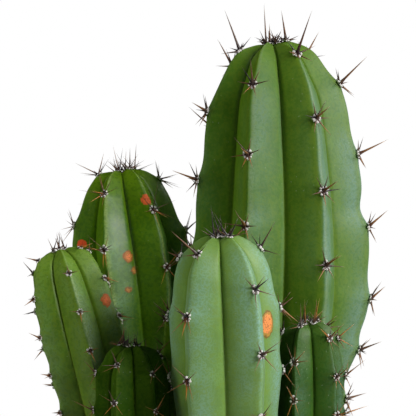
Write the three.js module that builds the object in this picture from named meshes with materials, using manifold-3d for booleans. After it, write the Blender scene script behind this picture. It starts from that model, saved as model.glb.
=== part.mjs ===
// A columnar cactus of seven ribbed stems in a plain clay pot, in millimetres, +Z up.
// The origin is the middle of the pot's base. The front, which faces the viewer, is -Y, with +X to its right.
import * as THREE from "three";
import { mergeVertices } from "three/addons/utils/BufferGeometryUtils.js";
import Module from "manifold-3d";

const wasm = await Module();
wasm.setup();

// The air between two pieces that touch.
const GAP = 0.3;

// The pot: a tapered clay wall with a plain band as its rim.
const POT_HEIGHT = 170;
const POT_BASE_RADIUS = 66;
const POT_SHOULDER_RADIUS = 92;
const POT_RIM_RADIUS = 100;
const POT_RIM_HEIGHT = 30;
const POT_INNER_BASE_RADIUS = 59;
const POT_INNER_TOP_RADIUS = 90;
const POT_FLOOR = 9;
const POT_EDGE = 2.5;
const POT_SEGMENTS = 40;
const DRAIN_COUNT = 4;
const DRAIN_RADIUS = 6;
const DRAIN_CIRCLE = 40;
const DRAIN_SEGMENTS = 16;
const CLAY_COLOUR = 0xb4684a;

// The soil and the holes that the stems stand in.
const SOIL_TOP = 155;
const SOIL_CROWN = 1.5;
const SOIL_SEGMENTS = 40;
const STEM_BURIED = 24;
const HOLE_SEGMENTS = 18;
const SOIL_COLOUR = 0x4a3a2c;

// The ribs. A rib is a wedge with a narrow crest, and a sharp furrow lies between two of them.
// Its points across, from one furrow to the next: 0 is the crest and 1 the furrow.
const RIB_POINTS = [-1, -0.2, 0, 0.2];
const CREST_ROUNDING = 0.08;
const NOTCH_DEPTH = 0.024;
const NOTCH_LEAN = 1.8;
const TWIST_REACH = 45;
const FOOT_COLLAR = 4;
const RIB_FADE = 45;
const CREST_STEPS = 400;
const ROW_ARCS_AT_TIP = [2.5, 7, 13];
const ROWS_PER_AREOLE = 3;
const ROW_STEP_LEAST = 10;
const TIP_SINK = 1.5;
const TIP_SINK_RADIUS = 5;

// The spines. Each is a three-sided needle whose root is sunk into its areole.
const SPINE_ROOT = 0.7;
const SPINE_SUNK = 2.4;
const SPINE_SPREAD = 1.3;
const SPINE_CLEARANCE = 1.3;
const BARE_ABOVE_SOIL = 14;
const TUFT_ARC = 3.2;
const SPINE_SEED = 41;
const SPINE_JITTER = 0.4;
const SPINE_SHORTEST = 0.85;
const SPINE_LONGEST = 1.15;
const SPINE_BENDS = [0, 0.5, -0.5, 1.1, -1.1];

// The directions of an areole's spines, as shares of outwards, up along the rib and sideways.
const CENTRAL_SPINE = { out: 0.86, up: 0.5, side: 0 };
const RADIAL_SPINES = [
  { out: 0.5, up: -0.72, side: 0.5 },
  { out: 0.5, up: -0.6, side: -0.62 },
];
const TUFT_SPINE = { out: 0.92, up: 0.3, side: 0.25 };

// One entry for each stem. foot is where its axis meets the soil, and bow how far the axis swings out
// between foot and tip. crests lists the ribs by their angle from the front towards +X, in degrees, and
// twist is how far they turn that way at the tip. furrow is the furrow's depth as a share of the radius.
// areoleStart is how far from the tip the first areole of each rib lies along its crest, and areoleStep the
// distance to the next. Below crowdFrom they stand closer, by the factor crowding. central, radial and
// tuft are spine lengths, and radials counts the radial spines of an areole. girth lists [depth below the
// tip, crest radius].
const STEMS = [
  {
    name: "stem_tall",
    colour: 0x4b7a3a,
    foot: [29, 22],
    tip: [32.5, 29, 407],
    bow: [6, 0],
    crests: [-24.5, 27, 78.5, 130, 181, 232.5, 284],
    twist: 4.5,
    furrow: 0.27,
    areoleStep: 36,
    areoleStart: [5, 24.5, 7.5, 26, 8, 28, 18],
    crowdFrom: 150,
    crowding: 1.4,
    central: 18,
    radial: 8,
    tuft: 12,
    radials: 2,
    girth: [[1.5, 12], [6, 20.5], [15, 27.3], [29, 35], [54, 40], [105, 46], [125, 46.3], [153, 42],
      [174, 35.5], [252, 30]],
  },
  {
    name: "stem_front",
    colour: 0x6f9f68,
    foot: [8, -45],
    tip: [5.5, -58, 316],
    bow: [2, 0],
    crests: [-39, 36, 106, 178, 250],
    twist: 0,
    furrow: 0.33,
    areoleStep: 30,
    areoleStart: [19, 7.5, 22, 25, 24.5],
    crowdFrom: Infinity,
    crowding: 1,
    central: 11,
    radial: 9,
    tuft: 5,
    radials: 2,
    girth: [[3.5, 12.5], [8.5, 18], [17, 23], [30, 26], [41, 27.5], [61, 28], [87, 26.5], [160, 20]],
  },
  {
    name: "stem_back_left",
    colour: 0x3f7030,
    foot: [-28, 40],
    tip: [-45.3, 54, 341],
    bow: [1, 0],
    crests: [-20, 38, 98, 158, 218, 278],
    twist: -9,
    furrow: 0.3,
    areoleStep: 30,
    areoleStart: [26.5, 8.5, 21, 12, 2, 12.5],
    crowdFrom: Infinity,
    crowding: 1,
    central: 12,
    radial: 9,
    tuft: 8,
    radials: 2,
    girth: [[2.5, 12.5], [7, 17.6], [18, 24], [28, 28], [40, 30.8], [60, 31.2], [90, 26.5], [186, 20]],
  },
  {
    name: "stem_left",
    colour: 0x4f8236,
    foot: [-41, -1],
    tip: [-75, 4, 303.5],
    bow: [2, 0],
    crests: [9.5, 62, 125, 185, 245, 305],
    twist: 0,
    furrow: 0.24,
    areoleStep: 19,
    areoleStart: [5.5, 12.5, 17.5, 5.5, 2, 13.5],
    crowdFrom: Infinity,
    crowding: 1,
    central: 8,
    radial: 6,
    tuft: 5,
    radials: 1,
    girth: [[3, 12], [7, 16.2], [13, 19.3], [23, 21.3], [31, 22.5], [44, 23.2], [70, 22.5], [149, 14]],
  },
  {
    name: "stem_low_left",
    colour: 0x436b1c,
    foot: [-32, -36],
    tip: [-37, -38, 261],
    bow: [-1, 0],
    crests: [-25, 37, 95, 155, 215, 275],
    twist: 0,
    furrow: 0.3,
    areoleStep: 17.8,
    areoleStart: [18, 5, 14, 18.5, 7, 6],
    crowdFrom: Infinity,
    crowding: 1,
    central: 9,
    radial: 8,
    tuft: 5,
    radials: 1,
    girth: [[3.5, 11], [8, 14], [14, 16.8], [29, 18.4], [60, 17.5], [106, 13]],
  },
  {
    name: "stem_low_right",
    colour: 0x4f7f3c,
    foot: [46.5, -26],
    tip: [48.5, -34, 272],
    bow: [2, 0],
    crests: [-29, 45, 90, 150, 210, 268],
    twist: 0,
    furrow: 0.36,
    areoleStep: 18.4,
    areoleStart: [8, 16, 18, 9, 4, 14],
    crowdFrom: Infinity,
    crowding: 1,
    central: 10,
    radial: 8,
    tuft: 7,
    radials: 1,
    girth: [[4.5, 11], [12, 14], [24, 16.6], [40, 16.8], [117, 11]],
  },
  {
    name: "stem_low_middle",
    colour: 0x3e6c28,
    foot: [-11, -4],
    tip: [-13, -12, 279],
    bow: [0, 0],
    crests: [-60, 12, 84, 156, 228],
    twist: 0,
    furrow: 0.28,
    areoleStep: 19,
    areoleStart: [13, 8, 15, 6, 11],
    crowdFrom: Infinity,
    crowding: 1,
    central: 8,
    radial: 6,
    tuft: 5,
    radials: 1,
    girth: [[8, 9], [17, 10.5], [24, 11.4], [60, 11.2], [124, 8]],
  },
];

// A closed three.js geometry as a solid.
function solidOf(geometry) {
  const bare = geometry.clone().deleteAttribute("normal").deleteAttribute("uv");
  const merged = mergeVertices(bare, 1e-4);
  return new wasm.Manifold(
    new wasm.Mesh({
      numProp: 3,
      vertProperties: merged.attributes.position.array,
      triVerts: new Uint32Array(merged.index.array),
    }),
  );
}

// A solid as a three.js geometry.
function geometryOf(solid) {
  const mesh = solid.getMesh();
  const geometry = new THREE.BufferGeometry();
  geometry.setAttribute("position", new THREE.BufferAttribute(mesh.vertProperties, 3));
  geometry.setIndex(new THREE.BufferAttribute(mesh.triVerts, 1));
  geometry.computeVertexNormals();
  return geometry;
}

// A named mesh with a matt finish of its own colour.
function piece(name, geometry, colour, roughness) {
  const material = new THREE.MeshStandardMaterial({ color: colour, roughness, metalness: 0 });
  const mesh = new THREE.Mesh(geometry, material);
  mesh.name = name;
  return mesh;
}

// A seeded draw between 0 and 1, so that the spines are the same each time.
function seededDraw(seed) {
  let state = seed;
  return () => {
    state = (Math.imul(state, 1664525) + 1013904223) >>> 0;
    return state / 2 ** 32;
  };
}

// The pot's inner radius at a height.
function potInnerRadius(z) {
  const share = (z - POT_FLOOR) / (POT_HEIGHT - POT_FLOOR);
  return POT_INNER_BASE_RADIUS + (POT_INNER_TOP_RADIUS - POT_INNER_BASE_RADIUS) * share;
}

// A profile of [radius, height] pairs turned about the axis.
function turned(profile, segments) {
  const points = profile.map(([r, z]) => new THREE.Vector2(r, z));
  return new THREE.LatheGeometry(points, segments).rotateX(Math.PI / 2);
}

// An upright cylinder with its foot at a point.
function uprightCylinder(radius, height, segments, [x, y, z]) {
  return new THREE.CylinderGeometry(radius, radius, height, segments)
    .rotateX(Math.PI / 2)
    .translate(x, y, z + height / 2);
}

function makePot() {
  const rimFoot = POT_HEIGHT - POT_RIM_HEIGHT;
  const wall = turned(
    [
      [0, 0],
      [POT_BASE_RADIUS - POT_EDGE, 0],
      [POT_BASE_RADIUS, POT_EDGE],
      [POT_SHOULDER_RADIUS, rimFoot],
      [POT_RIM_RADIUS - POT_EDGE, rimFoot],
      [POT_RIM_RADIUS, rimFoot + POT_EDGE],
      [POT_RIM_RADIUS, POT_HEIGHT - POT_EDGE],
      [POT_RIM_RADIUS - POT_EDGE, POT_HEIGHT],
      [POT_INNER_TOP_RADIUS + POT_EDGE, POT_HEIGHT],
      [POT_INNER_TOP_RADIUS, POT_HEIGHT - POT_EDGE],
      [POT_INNER_BASE_RADIUS, POT_FLOOR],
      [0, POT_FLOOR],
    ],
    POT_SEGMENTS,
  );
  let pot = solidOf(wall);
  for (let i = 0; i < DRAIN_COUNT; i++) {
    const angle = ((i + 0.5) / DRAIN_COUNT) * 2 * Math.PI;
    const at = [DRAIN_CIRCLE * Math.cos(angle), DRAIN_CIRCLE * Math.sin(angle), -POT_FLOOR / 2];
    pot = pot.subtract(solidOf(uprightCylinder(DRAIN_RADIUS, 2 * POT_FLOOR, DRAIN_SEGMENTS, at)));
  }
  return piece("pot", geometryOf(pot), CLAY_COLOUR, 0.85);
}

// The foot's radius: the last one in the girth list.
function footRadius(stem) {
  return stem.girth.at(-1)[1];
}

function makeSoil() {
  const top = potInnerRadius(SOIL_TOP) - GAP;
  const bottom = potInnerRadius(POT_FLOOR + GAP) - GAP;
  const fill = turned(
    [
      [0, POT_FLOOR + GAP],
      [bottom, POT_FLOOR + GAP],
      [top, SOIL_TOP - SOIL_CROWN],
      [top - 2 * SOIL_CROWN, SOIL_TOP],
      [0, SOIL_TOP],
    ],
    SOIL_SEGMENTS,
  );
  let soil = solidOf(fill);
  const widen = 1 / Math.cos(Math.PI / HOLE_SEGMENTS);
  for (const stem of STEMS) {
    const radius = (footRadius(stem) + GAP) * widen;
    const at = [...stem.foot, SOIL_TOP - STEM_BURIED - GAP];
    const hole = uprightCylinder(radius, 2 * STEM_BURIED, HOLE_SEGMENTS, at);
    soil = soil.subtract(solidOf(hole));
  }
  return piece("soil", geometryOf(soil), SOIL_COLOUR, 0.95);
}

// The crest radius at a depth below the tip. The girth is read against the square root of the depth,
// which makes the tip round.
function crestRadius(stem, depth) {
  const root = Math.sqrt(Math.max(depth, 0));
  const stations = [[0, 0], ...stem.girth].map(([d, r]) => [Math.sqrt(d), r]);
  const next = stations.findIndex(([d]) => d >= root);
  if (next < 0) return footRadius(stem);
  if (next === 0) return 0;
  const [d0, r0] = stations[next - 1];
  const [d1, r1] = stations[next];
  return r0 + ((r1 - r0) * (root - d0)) / (d1 - d0);
}

// The axis of a stem at a height, with the directions across it.
function axisAt(stem, z) {
  const [tipX, tipY, tipZ] = stem.tip;
  const length = tipZ - SOIL_TOP;
  const t = (z - SOIL_TOP) / length;
  const rise = [0, 1].map((i) => stem.tip[i] - stem.foot[i]);
  const swing = 4 * t * (1 - t);
  const centre = new THREE.Vector3(
    stem.foot[0] + rise[0] * t + stem.bow[0] * swing,
    stem.foot[1] + rise[1] * t + stem.bow[1] * swing,
    z,
  );
  const slope = rise.map((run, i) => (run + stem.bow[i] * 4 * (1 - 2 * t)) / length);
  const along = new THREE.Vector3(slope[0], slope[1], 1).normalize();
  const right = new THREE.Vector3(1, 0, 0).addScaledVector(along, -along.x).normalize();
  const back = new THREE.Vector3().crossVectors(along, right);
  return { centre, along, right, back };
}

// How far the surface lies below the crest, as a share of the furrow's depth, across a rib.
function acrossRib(phi) {
  const rounded = Math.hypot(phi, CREST_ROUNDING) - CREST_ROUNDING;
  return rounded / (Math.hypot(1, CREST_ROUNDING) - CREST_ROUNDING);
}

// The crest's curve from the tip to the soil: its depths with their lengths along the crest.
function crestRun(stem) {
  const last = stem.tip[2] - SOIL_TOP - FOOT_COLLAR;
  const run = [{ depth: 0, arc: 0 }];
  for (let i = 1; i <= CREST_STEPS; i++) {
    const depth = last * (i / CREST_STEPS) ** 2;
    const before = run.at(-1);
    const widening = crestRadius(stem, depth) - crestRadius(stem, before.depth);
    run.push({ depth, arc: before.arc + Math.hypot(depth - before.depth, widening) });
  }
  return run;
}

function depthAtArc(run, arc) {
  const next = run.findIndex((point) => point.arc >= arc);
  if (next < 1) return next === 0 ? 0 : run.at(-1).depth;
  const [a, b] = [run[next - 1], run[next]];
  return a.depth + ((b.depth - a.depth) * (arc - a.arc)) / (b.arc - a.arc);
}

// The slope of the crest's curve at a depth, as the outward normal's parts across and along the axis.
function crestNormal(stem, depth) {
  const near = 0.02 * depth + 0.01;
  const widening = (crestRadius(stem, depth + near) - crestRadius(stem, depth - near)) / (2 * near);
  const size = Math.hypot(1, widening);
  return { across: 1 / size, along: widening / size };
}

// The angle of a rib from the front towards +X, in radians. phi goes across it, -1 to 1, and ends half-way to
// the crests on its two sides.
function bearing(stem, rib, phi, depth) {
  const count = stem.crests.length;
  const next = phi < 0 ? rib - 1 : rib + 1;
  const beyond = next < 0 ? -360 : next === count ? 360 : 0;
  const way = stem.crests[(next + count) % count] + beyond - stem.crests[rib];
  const twist = stem.twist * Math.exp(-depth / TWIST_REACH);
  return THREE.MathUtils.degToRad(stem.crests[rib] + (way * Math.abs(phi)) / 2 + twist);
}

// How many areole steps a length along the crest is from the tip.
function stepsDown(stem, arc) {
  const beyond = Math.max(arc - stem.crowdFrom, 0);
  return (arc + beyond * (stem.crowding - 1)) / stem.areoleStep;
}

// Where the areoles of a rib lie, as lengths along its crest. Neighbouring ribs alternate.
function areoleArcs(stem, rib, lastArc) {
  const first = stepsDown(stem, stem.areoleStart[rib]);
  const count = 1 + Math.floor(stepsDown(stem, lastArc) - first);
  return Array.from({ length: count }, (_, i) => {
    const even = (first + i) * stem.areoleStep;
    const beyond = Math.max(even - stem.crowdFrom, 0);
    return even - beyond + beyond / stem.crowding;
  });
}

// A crest dips just above each areole and swells at it, so that the ribs are gently wavy.
function notchAt(stem, rib, arc) {
  const beyond = stepsDown(stem, arc) - stepsDown(stem, stem.areoleStart[rib]);
  const phase = beyond - Math.floor(beyond);
  return NOTCH_DEPTH * (0.5 - 0.5 * Math.cos(2 * Math.PI * phase ** NOTCH_LEAN));
}

// A point of a stem's skin: rib counts from the first crest, and phi goes across it, -1 to 1.
function skinPoint(stem, depth, arc, rib, phi) {
  const z = stem.tip[2] - depth;
  const { centre, along, right, back } = axisAt(stem, z);
  const radius = crestRadius(stem, depth);
  const normal = crestNormal(stem, depth);
  const fade = Math.min(1, Math.max(0, (z - SOIL_TOP - FOOT_COLLAR) / RIB_FADE));
  const across = stem.furrow * acrossRib(phi) + notchAt(stem, rib, arc) * (1 - Math.abs(phi));
  const sunk = radius * fade * across;
  const sink = TIP_SINK * Math.exp(-((radius / TIP_SINK_RADIUS) ** 2));
  const angle = bearing(stem, rib, phi, depth);
  const outward = right.multiplyScalar(Math.sin(angle)).addScaledVector(back, -Math.cos(angle));
  return centre
    .addScaledVector(outward, radius - sunk * normal.across)
    .addScaledVector(along, -sunk * normal.along - sink);
}

// The ring of a stem's round foot at a height.
function footRing(stem, z) {
  const ring = [];
  for (let rib = 0; rib < stem.crests.length; rib++)
    for (const phi of RIB_POINTS) {
      const angle = bearing(stem, rib, phi, Infinity);
      const x = stem.foot[0] + footRadius(stem) * Math.sin(angle);
      const y = stem.foot[1] - footRadius(stem) * Math.cos(angle);
      ring.push(new THREE.Vector3(x, y, z));
    }
  return ring;
}

// The ribbed body of a stem, from its tip to the bottom of its hole, as one closed geometry.
function stemBody(stem, run) {
  const lastArc = run.at(-1).arc;
  const step = Math.max(stem.areoleStep / ROWS_PER_AREOLE, ROW_STEP_LEAST);
  const arcs = [...ROW_ARCS_AT_TIP];
  while (arcs.at(-1) + 1.5 * step < lastArc) arcs.push(arcs.at(-1) + step);
  const rings = arcs.map((arc) => {
    const depth = depthAtArc(run, arc);
    const ring = [];
    for (let rib = 0; rib < stem.crests.length; rib++)
      for (const phi of RIB_POINTS) ring.push(skinPoint(stem, depth, arc, rib, phi));
    return ring;
  });
  rings.push(footRing(stem, SOIL_TOP + FOOT_COLLAR));
  rings.push(footRing(stem, SOIL_TOP - STEM_BURIED));

  const count = rings[0].length;
  const apex = new THREE.Vector3(stem.tip[0], stem.tip[1], stem.tip[2] - TIP_SINK);
  const base = new THREE.Vector3(...stem.foot, SOIL_TOP - STEM_BURIED);
  const points = [apex, ...rings.flat(), base];
  const index = [];
  const vertex = (row, j) => 1 + row * count + (j % count);
  for (let j = 0; j < count; j++) {
    index.push(0, vertex(0, j), vertex(0, j + 1));
    for (let row = 0; row + 1 < rings.length; row++) {
      index.push(vertex(row, j), vertex(row + 1, j), vertex(row, j + 1));
      index.push(vertex(row, j + 1), vertex(row + 1, j), vertex(row + 1, j + 1));
    }
    index.push(points.length - 1, vertex(rings.length - 1, j + 1), vertex(rings.length - 1, j));
  }
  return new THREE.BufferGeometry().setFromPoints(points).setIndex(index);
}

// The nearest that two straight pieces, each given by its ends, come to each other.
function nearestApproach(a, b) {
  const steps = 6;
  let nearest = Infinity;
  const line = new THREE.Line3(...b);
  const spot = new THREE.Vector3();
  for (let i = 0; i <= steps; i++) {
    const from = new THREE.Vector3().lerpVectors(a[0], a[1], i / steps);
    line.closestPointToPoint(from, true, spot);
    nearest = Math.min(nearest, spot.distanceTo(from));
  }
  return nearest;
}

// Whether a spine keeps clear of the soil, of every other stem and of the spines on them.
function isClear(root, tip, owner, placed) {
  if (tip.z < SOIL_TOP + SPINE_CLEARANCE) return false;
  const steps = 5;
  for (const stem of STEMS) {
    if (stem === owner) continue;
    for (let i = 0; i <= steps; i++) {
      const at = new THREE.Vector3().lerpVectors(root, tip, i / steps);
      const depth = stem.tip[2] - at.z;
      if (depth < -SPINE_CLEARANCE) continue;
      const { centre } = axisAt(stem, at.z);
      const wide = crestRadius(stem, depth + SPINE_CLEARANCE) + SPINE_CLEARANCE;
      if (Math.hypot(at.x - centre.x, at.y - centre.y) < wide) return false;
    }
  }
  const foreign = placed.filter((other) => other.owner !== owner);
  return foreign.every((other) => nearestApproach([root, tip], other.ends) > SPINE_CLEARANCE);
}

// A three-sided needle from a foot to a tip.
function needle(foot, tip) {
  const along = new THREE.Vector3().subVectors(tip, foot).normalize();
  const helper = new THREE.Vector3(0, 0, 1);
  if (Math.abs(along.z) > 0.9) helper.set(1, 0, 0);
  const side = new THREE.Vector3().crossVectors(along, helper).normalize();
  const other = new THREE.Vector3().crossVectors(along, side);
  const corners = [0, 1, 2].map((i) => {
    const angle = (i * 2 * Math.PI) / 3;
    return foot
      .clone()
      .addScaledVector(side, SPINE_ROOT * Math.cos(angle))
      .addScaledVector(other, SPINE_ROOT * Math.sin(angle));
  });
  const index = [0, 1, 3, 1, 2, 3, 2, 0, 3, 0, 2, 1];
  return new THREE.BufferGeometry().setFromPoints([...corners, tip]).setIndex(index);
}

// An areole's place on the crest, with the directions out of it, up the rib and across it.
function areoleAt(stem, run, rib, arc) {
  const depth = depthAtArc(run, arc);
  const at = skinPoint(stem, depth, arc, rib, 0);
  const { along, right, back } = axisAt(stem, stem.tip[2] - depth);
  const angle = bearing(stem, rib, 0, depth);
  const radial = right.multiplyScalar(Math.sin(angle)).addScaledVector(back, -Math.cos(angle));
  const normal = crestNormal(stem, depth);
  const out = radial.clone().multiplyScalar(normal.across).addScaledVector(along, normal.along);
  const up = along.clone().multiplyScalar(normal.across).addScaledVector(radial, -normal.along);
  const side = new THREE.Vector3().crossVectors(out, up);
  return { at, out, up, side };
}

// The spines of one stem, each bent up or down its rib until it is clear, or left out. Their roots are
// set a little apart in the areole, on the side that each leans to.
function stemSpines(stem, run, draw, placed) {
  const spines = [];
  const grow = (areole, pattern, length) => {
    const up = pattern.up + (draw() - 0.5) * SPINE_JITTER;
    const side = pattern.side + (draw() - 0.5) * SPINE_JITTER;
    const reach = length * THREE.MathUtils.lerp(SPINE_SHORTEST, SPINE_LONGEST, draw());
    const root = areole.at
      .clone()
      .addScaledVector(areole.up, SPINE_SPREAD * Math.sign(pattern.up))
      .addScaledVector(areole.side, SPINE_SPREAD * Math.sign(pattern.side));
    const foot = root.clone().addScaledVector(areole.out, -SPINE_SUNK);
    for (const bend of SPINE_BENDS) {
      const direction = new THREE.Vector3()
        .addScaledVector(areole.out, pattern.out)
        .addScaledVector(areole.up, up + bend)
        .addScaledVector(areole.side, side)
        .normalize();
      const tip = root.clone().addScaledVector(direction, reach);
      if (!isClear(root, tip, stem, placed)) continue;
      spines.push(needle(foot, tip));
      placed.push({ owner: stem, ends: [root, tip] });
      return;
    }
  };
  const lastArc = run.find(({ depth }) => stem.tip[2] - depth < SOIL_TOP + BARE_ABOVE_SOIL).arc;
  for (let rib = 0; rib < stem.crests.length; rib++) {
    grow(areoleAt(stem, run, rib, TUFT_ARC), TUFT_SPINE, stem.tuft);
    areoleArcs(stem, rib, lastArc).forEach((arc, row) => {
      const areole = areoleAt(stem, run, rib, arc);
      grow(areole, CENTRAL_SPINE, stem.central);
      for (let i = 0; i < stem.radials; i++)
        grow(areole, RADIAL_SPINES[(rib + row + i) % RADIAL_SPINES.length], stem.radial);
    });
  }
  return spines;
}

function makeStem(stem, draw, placed) {
  const run = crestRun(stem);
  const body = solidOf(stemBody(stem, run));
  const spines = stemSpines(stem, run, draw, placed).map(solidOf);
  const bodies = wasm.Manifold.union([body, ...spines]).decompose();
  const whole = bodies.reduce((most, next) => (next.volume() > most.volume() ? next : most));
  return piece(stem.name, geometryOf(whole), stem.colour, 0.55);
}

const plant = new THREE.Group();
plant.add(makePot(), makeSoil());
const draw = seededDraw(SPINE_SEED);
const placed = [];
for (const stem of STEMS) plant.add(makeStem(stem, draw, placed));

export default plant;
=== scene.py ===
"""The looks of a potted columnar cactus: seven ribbed stems with felted areoles and spines in a clay pot.

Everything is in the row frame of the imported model: +Z up, the front at -Y, and the origin in the middle of
the pot's base. Sizes in the classes are in millimetres, and mesh_piece turns them into metres.
"""

import logging
import math
from dataclasses import astuple, dataclass, fields
from enum import Enum
from functools import cached_property
from itertools import combinations
from typing import Any

import bpy
import numpy as np
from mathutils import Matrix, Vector


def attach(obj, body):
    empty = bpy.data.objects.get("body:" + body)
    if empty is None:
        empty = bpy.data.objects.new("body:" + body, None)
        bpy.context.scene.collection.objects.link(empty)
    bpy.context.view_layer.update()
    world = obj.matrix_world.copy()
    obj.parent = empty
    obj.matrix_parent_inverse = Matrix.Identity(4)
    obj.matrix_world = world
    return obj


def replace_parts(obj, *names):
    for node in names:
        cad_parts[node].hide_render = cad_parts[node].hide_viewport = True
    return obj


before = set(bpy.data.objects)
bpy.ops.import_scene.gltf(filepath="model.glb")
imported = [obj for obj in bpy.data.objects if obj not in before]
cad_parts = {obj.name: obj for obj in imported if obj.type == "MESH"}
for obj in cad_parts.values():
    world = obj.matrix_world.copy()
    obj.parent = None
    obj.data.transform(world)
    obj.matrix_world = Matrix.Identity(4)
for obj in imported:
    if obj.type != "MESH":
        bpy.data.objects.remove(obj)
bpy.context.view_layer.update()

MM = 0.001
BODY = "root"

# The pot and the soil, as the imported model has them.
POT_HEIGHT = 170.0
POT_BASE_RADIUS = 66.0
POT_SHOULDER_RADIUS = 92.0
POT_RIM_RADIUS = 100.0
POT_RIM_HEIGHT = 30.0
POT_INNER_BASE_RADIUS = 59.0
POT_INNER_TOP_RADIUS = 90.0
POT_FLOOR = 9.0
POT_EDGE = 2.5
DRAIN_COUNT = 4
DRAIN_RADIUS = 6.0
DRAIN_CIRCLE = 40.0
SOIL_TOP = 155.0
SOIL_GAP = 0.3
STEM_BURIED = 24.0

# The ribs' form. Depths are shares of the stem's radius, and heights and reaches are in millimetres.
CREST_ROUNDING = 0.08
NOTCH_DEPTH = 0.024
NOTCH_LEAN = 1.8
CREASE_DEPTH = 0.016
CREASE_AT_TIP = 0.10
CREASE_REACH = 30.0
CREASE_WIDTH = 0.07
FACE_HOLLOW = 0.03
WOBBLE = 0.006
WOBBLE_LENGTH = 21.0
WOBBLE_PHASE = 2.1
MOUND_HEIGHT = 0.7
MOUND_RADIUS = 3.2
SCAR_HEIGHT = 0.35
SCAR_SLOPE = 4.5
SCAR_STEEPNESS = 2.5
NO_SCAR = -2.0
TWIST_REACH = 45.0
FOOT_COLLAR = 4.0
RIB_FADE = 45.0
CREST_STEPS = 400
NORMAL_REACH = 0.02
NORMAL_LEAST = 0.01
TIP_SINK = 1.5
TIP_SINK_RADIUS = 5.0

# How finely a stem's skin is laid out, down its length and round it.
ROW_PITCH = 1.4
TIP_ROWS = 0.35 * np.array([1.0, 2.2])
FOOT_ROWS = np.array([0.3, 0.7, 1.0])
COLUMNS_PER_RIB = 26
COLUMN_CROWDING = 0.6

# Where the areoles start and end: the young tuft at the tip, and the bare skin above the soil.
TUFT_ARC = 3.2
TUFT_GAP = 2.0
BARE_ABOVE_SOIL = 14.0

# The form of a spine.
SPINE_SIDES = 5
SPINE_RINGS = np.array([-0.08, 0.0, 0.06, 0.18, 0.42, 0.72])
SPINE_SWELL = 0.5
SPINE_SWELL_LENGTH = 1.6
SPINE_TAPER = 0.95
SPINE_BOW = 0.035
SPINE_LIFT = 0.2
NEARLY_UPRIGHT = 0.9

# How a spine keeps clear: the air round it, the places tested on it, and the bends that are tried.
SPINE_CLEARANCE = 1.2
SPINE_TESTS = 7
SPINE_BENDS = (0.0, 0.5, -0.5, 1.1, -1.1)

# How the spines are drawn. A pair is the least and the most, and turns are in degrees.
SPINE_SEED = 41
CENTRAL_OUT = 0.86
CENTRAL_RISE = (0.25, 0.75)
CENTRAL_SWAY = (-0.3, 0.3)
CENTRAL_SIZE = (0.8, 1.2)
RING_TURN = (-15, 15)
RAY_TURN = (-9, 9)
RAY_LEAN = (-0.12, 0.18)
RAY_SIZE = (0.75, 1.2)
RAY_GIRTH = 0.6
RAY_FOOT = 0.55
TUFT_LEAN = 0.6
TUFT_GIRTH = 0.7
LEADER_FOOT = 0.12
LEADER_TUFT_GIRTH = 0.75
YOUNG_SHARE = 0.6
GROWN_ARC = 60.0
YOUNG_LENGTH = 1.25
OLD_LENGTH = 0.65
OLD_ARC = 220.0

# How pale the spines are: at the tip, below it, and the rays above and below an areole's middle.
TUFT_TAN = 0.15
YOUNG_TAN = 0.3
UPPER_TAN = 0.6
LOWER_TAN = 1.2
TONE_SPREAD = 0.12

# The wool. Its sizes are shares of the radius of an areole's ring of tufts, but BEAD_LIFT and PAD_SINK
# are in millimetres.
WOOL_BEAD = 0.4
WOOL_PAD = 0.7
WOOL_ROWS = 3
WOOL_SIDES = 6
WOOL_TUFT = 0.7
WOOL_YOUNG = 0.6
WOOL_GROWN_ARC = 50.0
BEAD_TURN = (-0.25, 0.25)
BEAD_REACH = (0.85, 1.1)
BEAD_SIZE = (0.75, 1.25)
BEAD_LIFT = 0.15
BEAD_FLATNESS = 0.85
PAD_SINK = 0.1
PAD_FLATNESS = 0.45
WOOL_UNEVENNESS = (0.82, 1.15)

# Corners of an icosahedron in a ball of radius 1 are joined where they are nearer than this.
ICOSAHEDRON_EDGE = 1.1

# The look of the materials, as sRGB hex colours.
SCAR_ORANGE = 0xFFA456
SCAR_RED = 0xFF6430
SCAR_CRACK = 0x8E3A18
SCAR_RING = 0xB8943A
SCAR_RIM = 0x6E5E1C
DUST = 0xD8DCC8
CORK = 0x9A8766
SPINE_DARK = 0x120C14
SPINE_RED = 0x2C2128
SPINE_ROSE = 0x74605F
SPINE_BROWN = 0x5A3018
SPINE_STRAW = 0xD08832
SPINE_CREAM = 0xE2B070
SPINE_ASH = 0x8B7F7A
WOOL_LIGHT = 0xFFFCF8
WOOL_SHADE = 0xDDD6CE
WOOL_HEART = 0x1C1214
CLAY_BODY = 0xB96A48
CLAY_RING = 0xA95B3C
CLAY_WET = 0x8E4E36
CLAY_LIME = 0xD9C3AE
CLAY_GRIT = 0x8F4A30
SOIL_DARK = 0x2A1D14
SOIL_LIGHT = 0x5C4633
SOIL_FLECK = 0xA89A86
GRIT_LAVA = 0x5A3A2E
GRIT_BROWN = 0x8A6A50
GRIT_GREY = 0x8C877F
GRIT_PUMICE = 0xC9C2B4
FLOOR_CARD = 0xECEAE6

# Where along a spine its middle colour and its tip colour come in.
SPINE_STAGES = ((0.04, 0.38), (0.60, 1.0))

# How much slower a pattern runs along the streaks of the skin and along the pot's turning rings.
STREAK_STRETCH = 0.14
RING_STRETCH = 0.04

# How far the cork's upper edge wanders, in millimetres, and how ragged a scar's edge is, in levels.
CORK_RAGGEDNESS = 30
SCAR_RAGGEDNESS = 0.45

# Sockets of a Mix node: the share of the upper one, the two colours it mixes, the mixed colour, and the
# two numbers it mixes.
SHARE, UNDER, OVER, MIXED = 0, 6, 7, 2
NUMBER_UNDER, NUMBER_OVER = 2, 3

# The way towards the lamps on the right front. Faces of the cactus skin turned this way get painted light: a
# thicker bloom and a painted highlight band.
LAMP_FACING_WAY = (0.91, -0.42, 0.0)

# The light of the white surroundings, as a share of what the camera sees there.
AMBIENT = 0.03

# How far the lamps stand from the stems, in metres.
LAMP_DISTANCE = 1.8


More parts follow.
